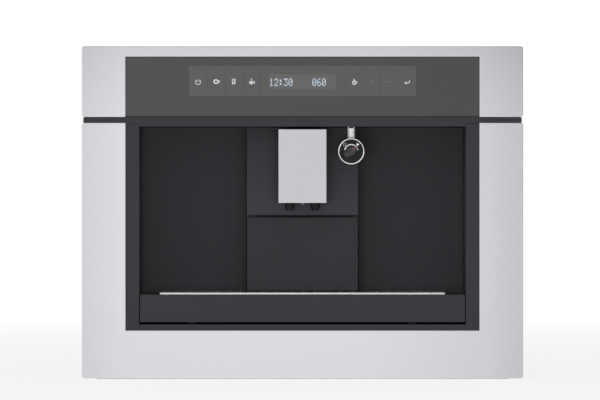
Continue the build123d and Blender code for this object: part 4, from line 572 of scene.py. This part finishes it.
# ---- the pieces
class FasciaFinish(Operator):
    """Brushed steel of both halves of the fascia and of the spout's cover"""

    bl_idname = "coffee.fascia"
    bl_label = "Fascia"

    def execute(self, context):
        look = context.scene.coffee_steel
        # The fascia's drift paints shade into its colour.
        finish(brushed("brushed_steel", look.colour, look.roughness, look.grain, 0.03, look.drift),
               "fascia_upper", "fascia_lower")
        finish(brushed("spout_steel", tint(look.colour, 0.8), look.roughness, look.grain),
               "spout_cover")
        return {"FINISHED"}


class ControlPanel(Operator):
    """Control glass with its touch field, key icons and dot display"""

    bl_idname = "coffee.panel"
    bl_label = "Control panel"

    # In pixels of the photograph: lines between keys, then left, top, right and bottom of areas.
    keys = (207.2, 225.1, 243.4, 260.0, 344.0, 362.5, 380.4, 398.0)
    field = (189.2, 65.9, 416.1, 96.2)
    window = (268.8, 74.3, 336.1, 88.7)
    text = "12:30    060"
    text_place = (269.5, 86.0)
    row_pitch = 1.36            # distance of the dots' rows, as a share of their pitch across
    dot_share = 0.84            # width of a dot, as a share of its pitch
    key_line = 0.6 * MM         # half the width of a line between keys
    rise = 0.06 * MM            # how far the print stands before the glass

    def execute(self, context):
        look = context.scene.coffee_panel
        paint = Paint("control_glass", Roughness=0.09, Specular_IOR_Level=0.5, Coat_Weight=0.3)
        x, _, z = paint.axes()

        def within(area):
            x0, z1 = at_pixel(area[0], area[1])
            x1, z0 = at_pixel(area[2], area[3])
            return x.near((x0 + x1) / 2, (x1 - x0) / 2) * z.near((z0 + z1) / 2, (z1 - z0) / 2)

        touch = within(self.field)
        lines = x.near(at_pixel(self.keys[0], 0)[0], self.key_line)
        for px in self.keys[1:]:
            lines = lines + x.near(at_pixel(px, 0)[0], self.key_line)
        screen = within(self.window)
        smoke = paint.noise(900.0, 2.0)
        ground = paint.mix(smoke, tint(look.glass, 0.97), tint(look.glass, 1.03))
        ground = paint.mix(touch, ground, look.field)
        ground = paint.mix(touch * lines * 0.4, ground, look.glass)
        ground = paint.mix(screen, ground, tint(look.field, 1.35))
        paint.feed(Base_Color=ground)
        finish(paint, "control_glass")
        finish(moulded("panel_carrier", (0.03, 0.03, 0.032), 0.55), "panel_carrier")
        finish(circuit_board("display_board", (0.02, 0.1, 0.045)), "display_board")

        bright = printed("key_print", look.icon)
        dim = printed("key_print_dim", tint(look.field, 2.1))
        piece("key_icons", self.icons(), bright, "machine")
        piece("level_icons", self.level_icons(), dim, "machine")
        piece("display_dots", self.dots(look.dot_pitch),
              printed("display_glow", look.lit, 0.5, 0.25), "machine")
        return {"FINISHED"}

    def drawn(self, marks):
        """Printed marks, each with a pixel of the photograph and its points about that pixel in
        millimetres. It is a line where a width in millimetres follows, which True closes, and a
        filled area where none does."""
        front, thick = GLASS_Y - self.rise, 2 * self.rise
        parts = []
        for pixel, places, *width in marks:
            places = at_pixel(*pixel) + MM * np.asarray(places, float)
            if width:
                parts.append(ribbon(places, width[0] * MM, front, thick, *width[1:]))
            else:
                parts.append(plate(places, front, thick))
        return joined(parts)

    def icons(self):
        """Clock, cup from above, tall cup, steaming bowl, drop and cup, and return arrow."""
        clock, above, tall = (198.0, 82.0), (216.0, 81.6), (233.7, 81.7)
        bowl, drop, back = (251.6, 81.7), (354.2, 82.2), (407.3, 82.0)
        return self.drawn((
            (clock, arc((0, 0), 3.4, 110, 430, 40)[:-1], 1.05),
            (clock, [(0, 2.2), (0, 0), (1.5, 1.2)], 0.7),
            (above, arc((0, 0), 2.8, 0, 359, 40, 0.82)[:-1], 1.9, True),
            (above, arc((3.6, 0.2), 1.4, -90, 90, 12), 0.9),
            (tall, [(-1.5, -3.2), (-1.7, 3.4), (1.7, 3.4), (1.5, -3.2)], 1.7, True),
            (tall, [(-1.0, -1.6), (1.0, -1.6)], 1.5),
            (bowl, arc((-0.4, 0.3), 3.2, 180, 360, 24, 1.2)),
            (bowl, arc((2.5, -1.0), 1.7, -80, 90, 12), 1.0),
            (bowl, [(-0.9, 0.8), (0, 2.0), (-0.7, 3.1), (0.2, 4.2)], 1.2),
            (drop, arc((0, -0.8), 2.1, 90, 449, 32)[:-1], 1.7, True),
            (drop, arc((2.7, -0.2), 1.2, -80, 100, 10), 0.8),
            (drop, [(-0.2, 5.2), (1.3, 2.2), (-1.5, 2.2)]),
            (back, [(2.9, 2.4), (2.9, -0.2), (1.7, -1.3), (-1.6, -1.3)], 1.2),
            (back, [(-1.2, 0.9), (-4.0, -1.3), (-1.2, -3.5)]),
        ))

    def level_icons(self):
        """Plus, its upright in two halves, and minus."""
        plus, minus = (371.6, 81.7), (389.0, 81.7)
        level, upper, lower = ((-3.6, 0), (3.6, 0)), ((0, 0.35), (0, 3.6)), ((0, -3.6), (0, -0.35))
        return self.drawn((pixel, ends, 0.7) for pixel, ends in (
            (plus, level), (plus, upper), (plus, lower), (minus, level)))

    def dots(self, pitch):
        """The display's lit dots: column and row of each set bit, times the dots' pitches."""
        x0, z0 = at_pixel(*self.text_place)
        high = self.row_pitch * pitch
        bits = [(cell * 6 + column, 6 - row)
                for cell, letter in enumerate(self.text)
                for row, value in enumerate(DOT_FACE[letter])
                for column in range(5) if value >> (4 - column) & 1]
        places = np.array(bits, float) * (pitch, high) + (x0 + pitch / 2, z0 + high / 2)
        return dot_field(places, self.dot_share * pitch, self.dot_share * high,
                         GLASS_Y - self.rise, 2 * self.rise)


class NicheMouldings(Operator):
    """Dark mouldings of the niche, the groove and the column"""

    bl_idname = "coffee.niche"
    bl_label = "Niche"

    def execute(self, context):
        look = context.scene.coffee_niche
        satin = moulded("dark_moulding", look.colour, look.roughness, gloss=0.14)
        finish(satin, "groove_beam", "niche_cheeks", "niche_sill", "drip_tray")
        foot, top = (corner.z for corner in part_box("column_cover"))
        # The column cover's colour carries painted light, lighter towards its foot.
        finish(moulded("column_moulding", tint(look.colour, 0.86), look.roughness, gloss=0.14,
                       fade=(foot, top, 1.44)), "column_cover")
        finish(moulded("container_moulding", tint(look.colour, 0.885), look.roughness, gloss=0.14),
               "grounds_container")
        finish(moulded("niche_back", tint(look.colour, 0.95), look.roughness + 0.08, gloss=0.1),
               "niche_backs")
        return {"FINISHED"}


class Spout(Operator):
    """Height-adjustable spout: its body, slider, turned nozzles and the cup light"""

    bl_idname = "coffee.spout"
    bl_label = "Spout"

    # Shares of a nozzle's radius and height.
    lip, bore, shoulder, rounding = 0.7, 0.36, 0.62, 0.07

    def execute(self, context):
        scene = context.scene
        look = scene.coffee_niche
        black = moulded("black_moulding", tint(look.colour, 0.35), 0.4)
        finish(black, "spout_body", "spout_slider")
        finish(zinc_sheet("bracket_sheet", scene.coffee_inside.sheet), "spout_bracket")
        finish(polished("guide_steel", scene.coffee_steel.polished, 0.14), "spout_guides")
        gloss = moulded("nozzle_gloss", tint(look.colour, 0.22), 0.2, 0.00001, 1200.0, 0.18)
        piece("nozzles", self.nozzles(), gloss, "spout", True,
              stands_for=("spout_nozzles",))
        lens = clear("lens", (0.5, 0.52, 0.55), 0.2, 0.4)
        piece("cup_light_lens", self.dome(), lens, "spout", True, stands_for=("cup_light",))
        return {"FINISHED"}

    def nozzles(self):
        """Each nozzle is a turned tube: straight, then a cone down to its lip."""
        low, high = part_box("spout_nozzles")
        half = (high.x - low.x) / 2
        radius = (high.y - low.y) / 2
        tall = high.z - low.z
        bore = radius * self.bore
        profile = softened([
            (bore, tall), (radius, tall), (radius, tall * self.shoulder), (radius * self.lip, 0.0),
            (bore, 0.0), (bore, tall),
        ], radius * self.rounding, 4)
        return joined([
            tube(profile[:-1], (side * (half - radius), (low.y + high.y) / 2, low.z), count=48)
            for side in (-1, 1)])

    def dome(self):
        """The lens is a turned dome, radius times sin t at half its height times 1 - cos t."""
        low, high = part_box("cup_light")
        radius = (high.x - low.x) / 2
        tall = high.z - low.z
        dome = [(radius * math.sin(t), tall * (1 - math.cos(t)) / 2)
                for t in np.linspace(0.25, math.pi / 2, 8)]
        return turned([(TIP_R, 0.0), *dome, (radius, tall)],
                      ((low.x + high.x) / 2, (low.y + high.y) / 2, low.z), count=40)


class SteamOutlet(Operator):
    """Steam and hot water outlet: stem, drum, chrome ring, dial with its print, and the knob"""

    bl_idname = "coffee.steam"
    bl_label = "Steam outlet"

    stem_radius = 5.0 * MM
    stem_bore = 3.0 * MM
    stem_rounding = 0.4 * MM
    collar_up = 2.5 * MM        # foot of the collar above the niche's ceiling
    collar_tall = 3.0 * MM
    # A near-black patch on the stem, just under the ceiling, is painted shade: the shadow where the
    # stem meets the ceiling.
    shadow_patch_size = (3.8 * MM, 1.1 * MM)    # half its width and half its height
    shadow_patch_down = 0.9 * MM
    # Share of the painted shadow patch's size and millimetres before the stem, for each of its
    # rings.
    shadow_patch_rings = ((1.0, -0.4), (1.0, 0.08), (0.86, 0.16), (0.6, 0.16), (0.35, 0.16), (0.12, 0.16),
                  (0.02, 0.16))
    ring_wall = 2.0 * MM
    thick = 0.06 * MM           # print, before the face it is on
    lean = math.radians(35)     # the knob's index above level

    def execute(self, context):
        scene = context.scene
        look = scene.coffee_dial
        chrome = polished("chrome", tint(scene.coffee_steel.polished, 1.12))
        dark = scene.coffee_niche.colour
        black = moulded("dial_moulding", tint(dark, 0.22), 0.34, 0.00001, gloss=0.2)
        low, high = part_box("steam_stem")
        foot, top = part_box("steam_drum")
        x = (foot.x + top.x) / 2
        drum_z = sum(corner.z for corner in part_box("steam_ring")) / 2
        satin = polished("stem_chrome", tint(scene.coffee_steel.polished, 1.16), 0.3, 0.25)
        self.stem((x, (low.y + high.y) / 2), low, high, satin)
        self.ring(x, drum_z, chrome)
        finish(black, "steam_drum", "steam_dial")
        finish(moulded("knob_bar", tint(dark, 0.95), 0.4, 0.00001, gloss=0.3), "steam_knob")
        self.prints(np.array((x, drum_z)), look)
        return {"FINISHED"}

    def stem(self, place, low, high, satin):
        """The stem is a turned tube with a collar. A near-black patch under the ceiling is painted
        shade, for the shadow where the stem meets the ceiling; its rings are ovals laid on the
        tube: y is minus the root of the tube's radius squared less x squared, and then a lift."""
        radius, bore = self.stem_radius, self.stem_bore
        wide = (high.x - low.x) / 2
        tall = high.z - low.z
        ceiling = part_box("groove_beam")[0].z
        seat = ceiling - low.z + self.collar_up
        over = seat + self.collar_tall
        profile = softened([
            (bore, 0.0), (radius, 0.0), (radius, seat), (wide, seat), (wide, over), (radius, over),
            (radius, tall), (bore, tall),
        ], self.stem_rounding, 4)
        piece("steam_tube", tube(profile, (*place, low.z), count=64), satin, "machine",
              True, stands_for=("steam_stem",))
        angle = circle(36)
        rings = []
        for scale, lift in self.shadow_patch_rings:
            x = self.shadow_patch_size[0] * scale * np.cos(angle)
            z = self.shadow_patch_size[1] * scale * np.sin(angle)
            y = -np.sqrt(radius ** 2 - x ** 2) - lift * MM
            rings.append(np.stack((place[0] + x, place[1] + y, ceiling - self.shadow_patch_down + z), 1))
        # Painted shade: the near-black patch where the stem meets the ceiling.
        dark = moulded("stem_shadow_patch", (0.01, 0.01, 0.011), 0.5)
        piece("stem_shadow_patch", swept(rings), dark, "machine", True)

    def ring(self, x, z, chrome):
        """The ring is a turned hoop whose lip is half a circle as wide as its wall."""
        low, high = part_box("steam_ring")
        outer = (high.x - low.x) / 2
        deep = high.y - low.y
        lip = self.ring_wall / 2
        profile = [(outer - self.ring_wall, 0.0), (outer, 0.0)]
        profile += [(outer - lip + lip * math.cos(t), deep - lip + lip * math.sin(t))
                    for t in np.linspace(0, math.pi, 13)]
        piece("dial_ring", tube(profile, (x, high.y, z), (0, -1, 0), 96), chrome, "steam_head",
              True, stands_for=("steam_ring",))

    def prints(self, middle, look):
        """White arc, cloud and cup on the dial, and the red index on the knob. The cloud's radius
        is 1.75 mm + 0.28 mm * cos 3t."""
        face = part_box("steam_dial")[0].y - self.thick
        sweep = arc(middle, look.arc_radius, 10, 170, 48)
        t = circle(40)
        puff = (1.75 + 0.28 * np.cos(3 * t)) * MM
        cloud = np.stack((puff * np.cos(t), 0.9 * puff * np.sin(t)), 1) + (8.5 * MM, 9.2 * MM)
        marks = [ribbon(sweep, look.arc_width, face, 2 * self.thick),
                 plate(middle + cloud, face, 2 * self.thick)]
        piece("dial_print", joined(marks), printed("dial_print", (0.88, 0.88, 0.9)), "steam_head")
        cup = np.array([(-1.6, 1.6), (-1.0, -1.6), (1.0, -1.6), (1.6, 1.6)]) + (-9.0, 8.6)
        piece("dial_cup", ribbon(middle + cup * MM, 0.8 * MM, face, 2 * self.thick, True),
              printed("dial_print_fine", (0.5, 0.5, 0.51)), "steam_head")
        along = np.array((math.cos(self.lean), math.sin(self.lean)))
        beside = np.array((-along[1], along[0])) * 0.9
        index = [middle + (along * reach + beside) * MM for reach in (2.2, 7.6)]
        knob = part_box("steam_knob")[0].y - self.thick
        piece("knob_index", ribbon(index, 1.5 * MM, knob, 2 * self.thick),
              printed("index_print", look.index), "steam_lever")


class DripTray(Operator):
    """Cup grille of thin polished sheet"""

    bl_idname = "coffee.tray"
    bl_label = "Drip tray"

    # The slots' walls are painted dark as painted shade, from this far behind the front edge and
    # below the top.
    behind, below = 1.2 * MM, 0.3 * MM

    def execute(self, context):
        low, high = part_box("cup_grille")
        tone = tint(context.scene.coffee_steel.polished, 0.86)
        hollow_shade = (low.y + self.behind, high.z - self.below)
        finish(brushed("grille_steel", tone, 0.24, 0.000006, 0.03, hollow_shade=hollow_shade, metal=0.75),
               "cup_grille")
        return {"FINISHED"}


class Chassis(Operator):
    """Zinc-plated chassis, its screws with recessed heads, support and rails"""

    bl_idname = "coffee.chassis"
    bl_label = "Chassis"

    def execute(self, context):
        look = context.scene.coffee_inside
        sheet = zinc_sheet("zinc_sheet", look.sheet)
        finish(sheet, "base_pan", "side_panel_left", "side_panel_right", "rear_panel", "top_cover",
               "front_frame")
        # Painted shade: the bulkhead's sheet is near black so that the gaps between the niche's
        # parts read as shadow lines.
        finish(zinc_sheet("gap_shade_sheet", tint(look.sheet, 0.05)), "bulkhead")
        finish(zinc_sheet("support_sheet", tint(look.sheet, 0.92)), "support_base")
        rail = brushed("rail_steel", tint(look.sheet, 1.1), 0.3, 0.00001)
        finish(rail, "outer_rails", "middle_rails", "inner_rails")
        self.screws(look)
        return {"FINISHED"}

    def screws(self, look):
        """Each screw is a domed head whose height is a dome less a tapered cross, and a shank."""
        steel = polished("screw_steel", look.sheet, 0.22)
        parts = [screw(place, axis, look.screw_slots) for place, axis in screw_places()]
        piece("screws", joined(parts), steel, "machine", True, 50.0,
              stands_for=("case_screws",))


# A case screw, in millimetres.
HEAD_R, HEAD_H = 3.6, 2.2
SHANK_R, SHANK_L = 2.0, 6.0
RECESS_R, RECESS_HALF, RECESS_DEEP = 2.3, 0.62, 1.3
SCREW_REACH = 12.0              # no point of one screw is further than this from another


def screw_places():
    """Seat and outward axis of every case screw, from the groups of the CAD screws' own points."""
    points = np.array([tuple(v.co) for v in nodes["case_screws"].data.vertices])
    found = []
    while len(points):
        near = np.linalg.norm(points - points[0], axis=1) < SCREW_REACH * MM
        low, high = points[near].min(0), points[near].max(0)
        points = points[~near]
        middle = (low + high) / 2
        along = int(np.argmax(high - low))
        axis = np.zeros(3)
        axis[along] = math.copysign(1.0, middle[along])
        seat = middle.copy()
        seat[along] = (high if axis[along] > 0 else low)[along] - axis[along] * HEAD_H * MM
        found.append((seat, axis))
    return found


def screw(seat, axis, arms):
    """A shank and a pan head on a polar grid: the head's height is its middle's times
    1 - (r / radius)^4 / 3, less a recess with sloping walls about each of its arms."""
    t = circle(48)
    r = np.array((HEAD_R, HEAD_R, 3.45, 3.1, 2.6, 2.1, 1.7, 1.3, 1.0, 0.7, 0.4, 0.15))[:, None]
    h = HEAD_H * (1 - (r / HEAD_R) ** 4 / 3)
    h[0] = 0
    off = np.abs(np.sin(t * arms / 2)) * r
    h = h - (RECESS_DEEP * np.clip((RECESS_R - r) / 0.6, 0, 1)
             * np.clip((RECESS_HALF - off) / 0.2, 0, 1))
    shank_h = np.repeat([[-SHANK_L], [-0.1], [0.0]], len(t), axis=1)
    rings_r = np.concatenate([np.full_like(shank_h, SHANK_R), np.broadcast_to(r, h.shape)])
    rings_h = np.concatenate([shank_h, h])
    return swept(rings_round(seat, axis, MM * rings_r, MM * rings_h, t))


class BrewUnit(Operator):
    """Brew unit: frame, chamber, piston, threaded spindle and its motor"""

    bl_idname = "coffee.brew"
    bl_label = "Brew unit"

    def execute(self, context):
        scene = context.scene
        look = scene.coffee_inside
        white = moulded("white_moulding", (0.62, 0.62, 0.6), 0.42, 0.00004, 1500.0, 0.5)
        finish(white, "brew_frame", "brew_chamber", "brew_piston")
        finish(moulded("motor_can", (0.04, 0.04, 0.042), 0.35, 0.00003, 900.0, 0.5), "brew_motor")
        finish(moulded("bay_moulding", tint(scene.coffee_niche.colour, 0.6), 0.5), "container_bay")
        steel = polished("spindle_steel", (0.66, 0.66, 0.67), 0.18)
        piece("spindle_thread", self.thread(look.thread_starts, look.thread_lead), steel, "spindle",
              True, 60.0, stands_for=("brew_spindle",))
        return {"FINISHED"}

    def thread(self, starts, lead):
        """A bar whose radius is a clipped wave: cos(starts * (t - 2 pi * height / lead))."""
        deep = 0.4 * MM         # half the thread's depth
        low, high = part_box("brew_spindle")
        t = circle(28)[None]
        height = np.linspace(0, 1, 260)[:, None] * (high.z - low.z)
        wave = np.cos(starts * (t - 2 * math.pi * height / lead))
        reach = (high.x - low.x) / 2 - deep + deep * np.clip(1.6 * wave, -1, 1)
        return swept(np.stack(((low.x + high.x) / 2 + reach * np.cos(t),
                               (low.y + high.y) / 2 + reach * np.sin(t),
                               low.z + height + 0 * t), -1))


class Grinder(Operator):
    """Grinder: housing, motor, toothed burr, hopper, powder funnel, lids and the setting knob"""

    bl_idname = "coffee.grinder"
    bl_label = "Grinder"

    def execute(self, context):
        look = context.scene.coffee_inside
        finish(moulded("grinder_moulding", (0.5, 0.5, 0.49), 0.45, 0.00005, 1300.0, 0.45),
               "grinder_housing", "powder_funnel")
        finish(zinc_sheet("motor_steel", tint(look.sheet, 0.85)), "grinder_motor")
        finish(clear("clear_hopper", (0.66, 0.68, 0.7)), "bean_hopper")
        lid = moulded("lid_moulding", (0.085, 0.085, 0.09), 0.42)
        finish(lid, "hopper_lid", "powder_lid", "tank_lid")
        finish(moulded("knob_moulding", (0.03, 0.03, 0.032), 0.38), "grind_knob")
        self.burr()
        return {"FINISHED"}

    def burr(self):
        """The burr's cone carries saw teeth that lean round it: with s from 0 at the foot to 1, its
        radius is the cone's less a tooth's depth * (1 - s / 2) * the part of a tooth passed, which
        is (teeth * t / 2 pi + lean * s) mod 1. The teeth fade in over the first twelfth."""
        wide, narrow, tall = 25.0 * MM, 9.0 * MM, 20.0 * MM
        teeth, lean, deep = 12, 1.4, 2.6 * MM
        shaft_r = 5.0 * MM
        low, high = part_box("burr_rotor")
        x, y = (low.x + high.x) / 2, (low.y + high.y) / 2
        foot = high.z - tall
        t = circle(192)[None]
        s = np.linspace(0, 1, 34)[:, None]
        passed = (teeth * t / (2 * math.pi) + lean * s) % 1.0
        cone = wide + (narrow - wide) * s
        reach = cone - deep * (1 - s / 2) * passed * np.clip(s * 12, 0, 1)
        body = np.stack((x + reach * np.cos(t), y + reach * np.sin(t), foot + tall * s + 0 * t), -1)
        profile = [(TIP_R, 0.0), (shaft_r, 0.0), (shaft_r, foot - low.z + 1.0 * MM)]
        shaft = turned(softened(profile, 0.6 * MM), (x, y, low.z), count=48)
        piece("grinding_burr", joined([swept(body), shaft]), cast("burr_steel", (0.6, 0.6, 0.61)),
              "burr", True, 30.0, stands_for=("burr_rotor",))


class WaterSide(Operator):
    """Water tank and well, pump, boiler, hoses and the power board"""

    bl_idname = "coffee.water"
    bl_label = "Water side"

    def execute(self, context):
        finish(clear("clear_tank", (0.72, 0.75, 0.78)), "water_tank")
        finish(moulded("well_moulding", (0.55, 0.55, 0.54), 0.45, 0.00005, 1300.0, 0.45),
               "tank_well")
        finish(moulded("pump_moulding", (0.6, 0.58, 0.52), 0.4, 0.00005, 1100.0, 0.5), "pump")
        finish(cast("boiler_casting", (0.6, 0.6, 0.6)), "boiler")
        finish(clear("silicone", (0.8, 0.8, 0.78), 0.4, 0.3), "hoses")
        finish(circuit_board("power_board", (0.02, 0.11, 0.05)), "power_board")
        return {"FINISHED"}


class MainsSide(Operator):
    """Mains inlet with its socket and rocker switch"""

    bl_idname = "coffee.mains"
    bl_label = "Mains side"

    def execute(self, context):
        finish(moulded("inlet_moulding", (0.022, 0.022, 0.023), 0.36), "mains_inlet")
        finish(moulded("rocker_moulding", (0.03, 0.03, 0.032), 0.25, 0.00001, 1500.0, 0.5),
               "switch_rocker")
        low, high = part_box("switch_rocker")
        middle = np.array(((low.x + high.x) / 2, (low.z + high.z) / 2))
        ring = middle + MM * arc((0, -4.6), 1.6, 0, 359, 32)[:-1]
        bar = middle + MM * np.array([(0, 3.4), (0, 6.2)])
        width, front, deep = 0.5 * MM, high.y - 0.9 * MM, 0.7 * MM
        marks = [ribbon(ring, width, front, deep, True), ribbon(bar, width, front, deep)]
        piece("switch_marks", joined(marks), printed("switch_print", (0.8, 0.8, 0.8)), "rocker")
        return {"FINISHED"}


class Stage(Operator):
    """Floor, white room, lights and the camera at the photograph's angle"""

    bl_idname = "coffee.stage"
    bl_label = "Stage"

    def execute(self, context):
        scene = context.scene
        look = scene.coffee_stage
        self.floor()
        self.room(scene, look.sky)
        key = self.lamp("key_light", look.key, (0.8, 0.3), (-0.05, -1.7, 0.16), (0.0, -0.2, 0.24))
        key.visible_glossy = False
        self.lamp("fill_light", look.fill, (1.2, 1.4), (-2.3, -1.9, 0.9), (0.0, -0.2, 0.25))
        camera = placed("camera", bpy.data.cameras.new("camera"))
        x, z = at_pixel(IMAGE_W / 2, IMAGE_H / 2)
        camera.location = (x, FACE_Y - CAMERA_AWAY, z)
        camera.rotation_euler = (math.pi / 2, 0, 0)
        camera.data.sensor_width = SENSOR_W
        camera.data.lens = SENSOR_W * CAMERA_AWAY / (IMAGE_W * PIXEL)
        camera.data.clip_end = 60.0
        scene.camera = camera
        scene.view_settings.view_transform = "Standard"
        return {"FINISHED"}

    def floor(self):
        """A flat round floor: rings of points r * (cos t, sin t), r doubling from ring to ring. It
        glows by itself to the camera, 0.82 near the machine and full white far from it."""
        rings, around, smallest = 7, 48, 0.4
        t = circle(around)[None]
        r = smallest * 2.0 ** np.arange(rings)[::-1][:, None]
        grid = np.stack((r * np.cos(t), r * np.sin(t), 0 * r * t), -1)
        faces = grid_faces(rings, around).tolist()
        faces.append(tuple(range((rings - 1) * around, rings * around)))
        mesh = bpy.data.meshes.new("floor")
        mesh.from_pydata(grid.reshape(-1, 3).tolist(), [], faces)
        paint = Paint("floor_white", Roughness=0.9, Specular_IOR_Level=0.0)
        dust = paint.noise(4.0, 3.0)
        paint.feed(Base_Color=paint.mix(dust, (0.9, 0.9, 0.9), (0.93, 0.93, 0.93)))
        camera, gloss, through = paint.rays("Camera", "Glossy", "Transmission")
        seen = camera.most(gloss).most(through)
        x, y, _ = paint.axes()
        far = ((x * x + y * y - 0.5) / 5.0).most(0.0).least(1.0)
        glow = paint.node("ShaderNodeEmission", {}, (1, 1, 1, 1), 1.0)
        surface = Value(paint, paint.shader.outputs[0])
        both = paint.node("ShaderNodeMixShader", {}, seen * (0.82 + far * 0.18), surface, glow)
        paint.tree.links.new(both.socket, paint.tree.nodes["Material Output"].inputs["Surface"])
        mesh.materials.append(paint.material)
        floor = placed("floor", mesh)
        floor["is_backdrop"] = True

    def room(self, scene, strength):
        """A white room, full white to the camera and through clear parts. Gloss sees it brighter to
        the left and below, 0.93 * (1 - 1.8 x - z) by direction, held between 0.65 and 1.35, and dim
        far to the sides, where it falls as 1.5 - 1.35 |x| to 0.4."""
        world = bpy.data.worlds.new("room")
        world.use_nodes = True
        sky = Nodes(world.node_tree)
        camera, gloss, through = sky.rays("Camera", "Glossy", "Transmission")
        x, _, z = sky.axes(source=0)
        sheen = (0.93 * (1 - 1.8 * x - z)).most(0.65).least(1.35)
        sheen = sheen * (1.5 - 1.35 * abs(x)).most(0.4).least(1.0)
        level = gloss * (sheen - strength) + strength
        plain = sky.node("ShaderNodeBackground", {}, (1, 1, 1, 1), level)
        white = sky.node("ShaderNodeBackground", {}, (1, 1, 1, 1), 1.0)
        both = sky.node("ShaderNodeMixShader", {}, camera.most(through), plain, white)
        sky.tree.links.new(both.socket, sky.tree.nodes["World Output"].inputs["Surface"])
        scene.world = world

    def lamp(self, name, power, size, place, aim):
        """A large soft area light, turned to its aim."""
        light = bpy.data.lights.new(name, "AREA")
        light.shape = "RECTANGLE"
        light.size, light.size_y = size
        light.energy = power
        thing = placed(name, light)
        thing.location = place
        away = np.array(place) - aim
        flat = math.hypot(away[0], away[1])
        thing.rotation_euler = (math.atan2(flat, away[2]), 0, math.atan2(away[0], -away[1]))
        return thing


SETTINGS = {
    "coffee_steel": SteelSettings, "coffee_panel": PanelSettings, "coffee_niche": NicheSettings,
    "coffee_dial": DialSettings, "coffee_inside": InsideSettings, "coffee_stage": StageSettings,
}
PIECES = (FasciaFinish, ControlPanel, NicheMouldings, Spout, SteamOutlet, DripTray, Chassis,
          BrewUnit, Grinder, WaterSide, MainsSide, Stage)


class CoffeePanel(Panel):
    """Settings and pieces of the coffee machine"""

    bl_idname = "VIEW3D_PT_coffee"
    bl_label = "Coffee machine"
    bl_space_type = "VIEW_3D"
    bl_region_type = "UI"
    bl_category = "Coffee machine"

    def draw(self, context):
        for name, group in SETTINGS.items():
            box = self.layout.box()
            for word in group.__annotations__:
                box.prop(getattr(context.scene, name), word)
        for made in PIECES:
            self.layout.operator(made.bl_idname)


def register():
    for group in (*SETTINGS.values(), *PIECES, CoffeePanel):
        bpy.utils.register_class(group)
    for name, group in SETTINGS.items():
        setattr(bpy.types.Scene, name, PointerProperty(type=group))


def unregister():
    for name in SETTINGS:
        delattr(bpy.types.Scene, name)
    for group in (CoffeePanel, *reversed(PIECES), *reversed(tuple(SETTINGS.values()))):
        bpy.utils.unregister_class(group)


def corners(box):
    """Both corners of a box as plain lists."""
    return [[float(part) for part in corner] for corner in box]


def main():
    register()
    for made in PIECES:
        getattr(bpy.ops.coffee, made.bl_idname.split(".")[1])()
    {"cad": corners(cad_box), "visual": corners(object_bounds())}


if __name__ == "__main__":
    main()
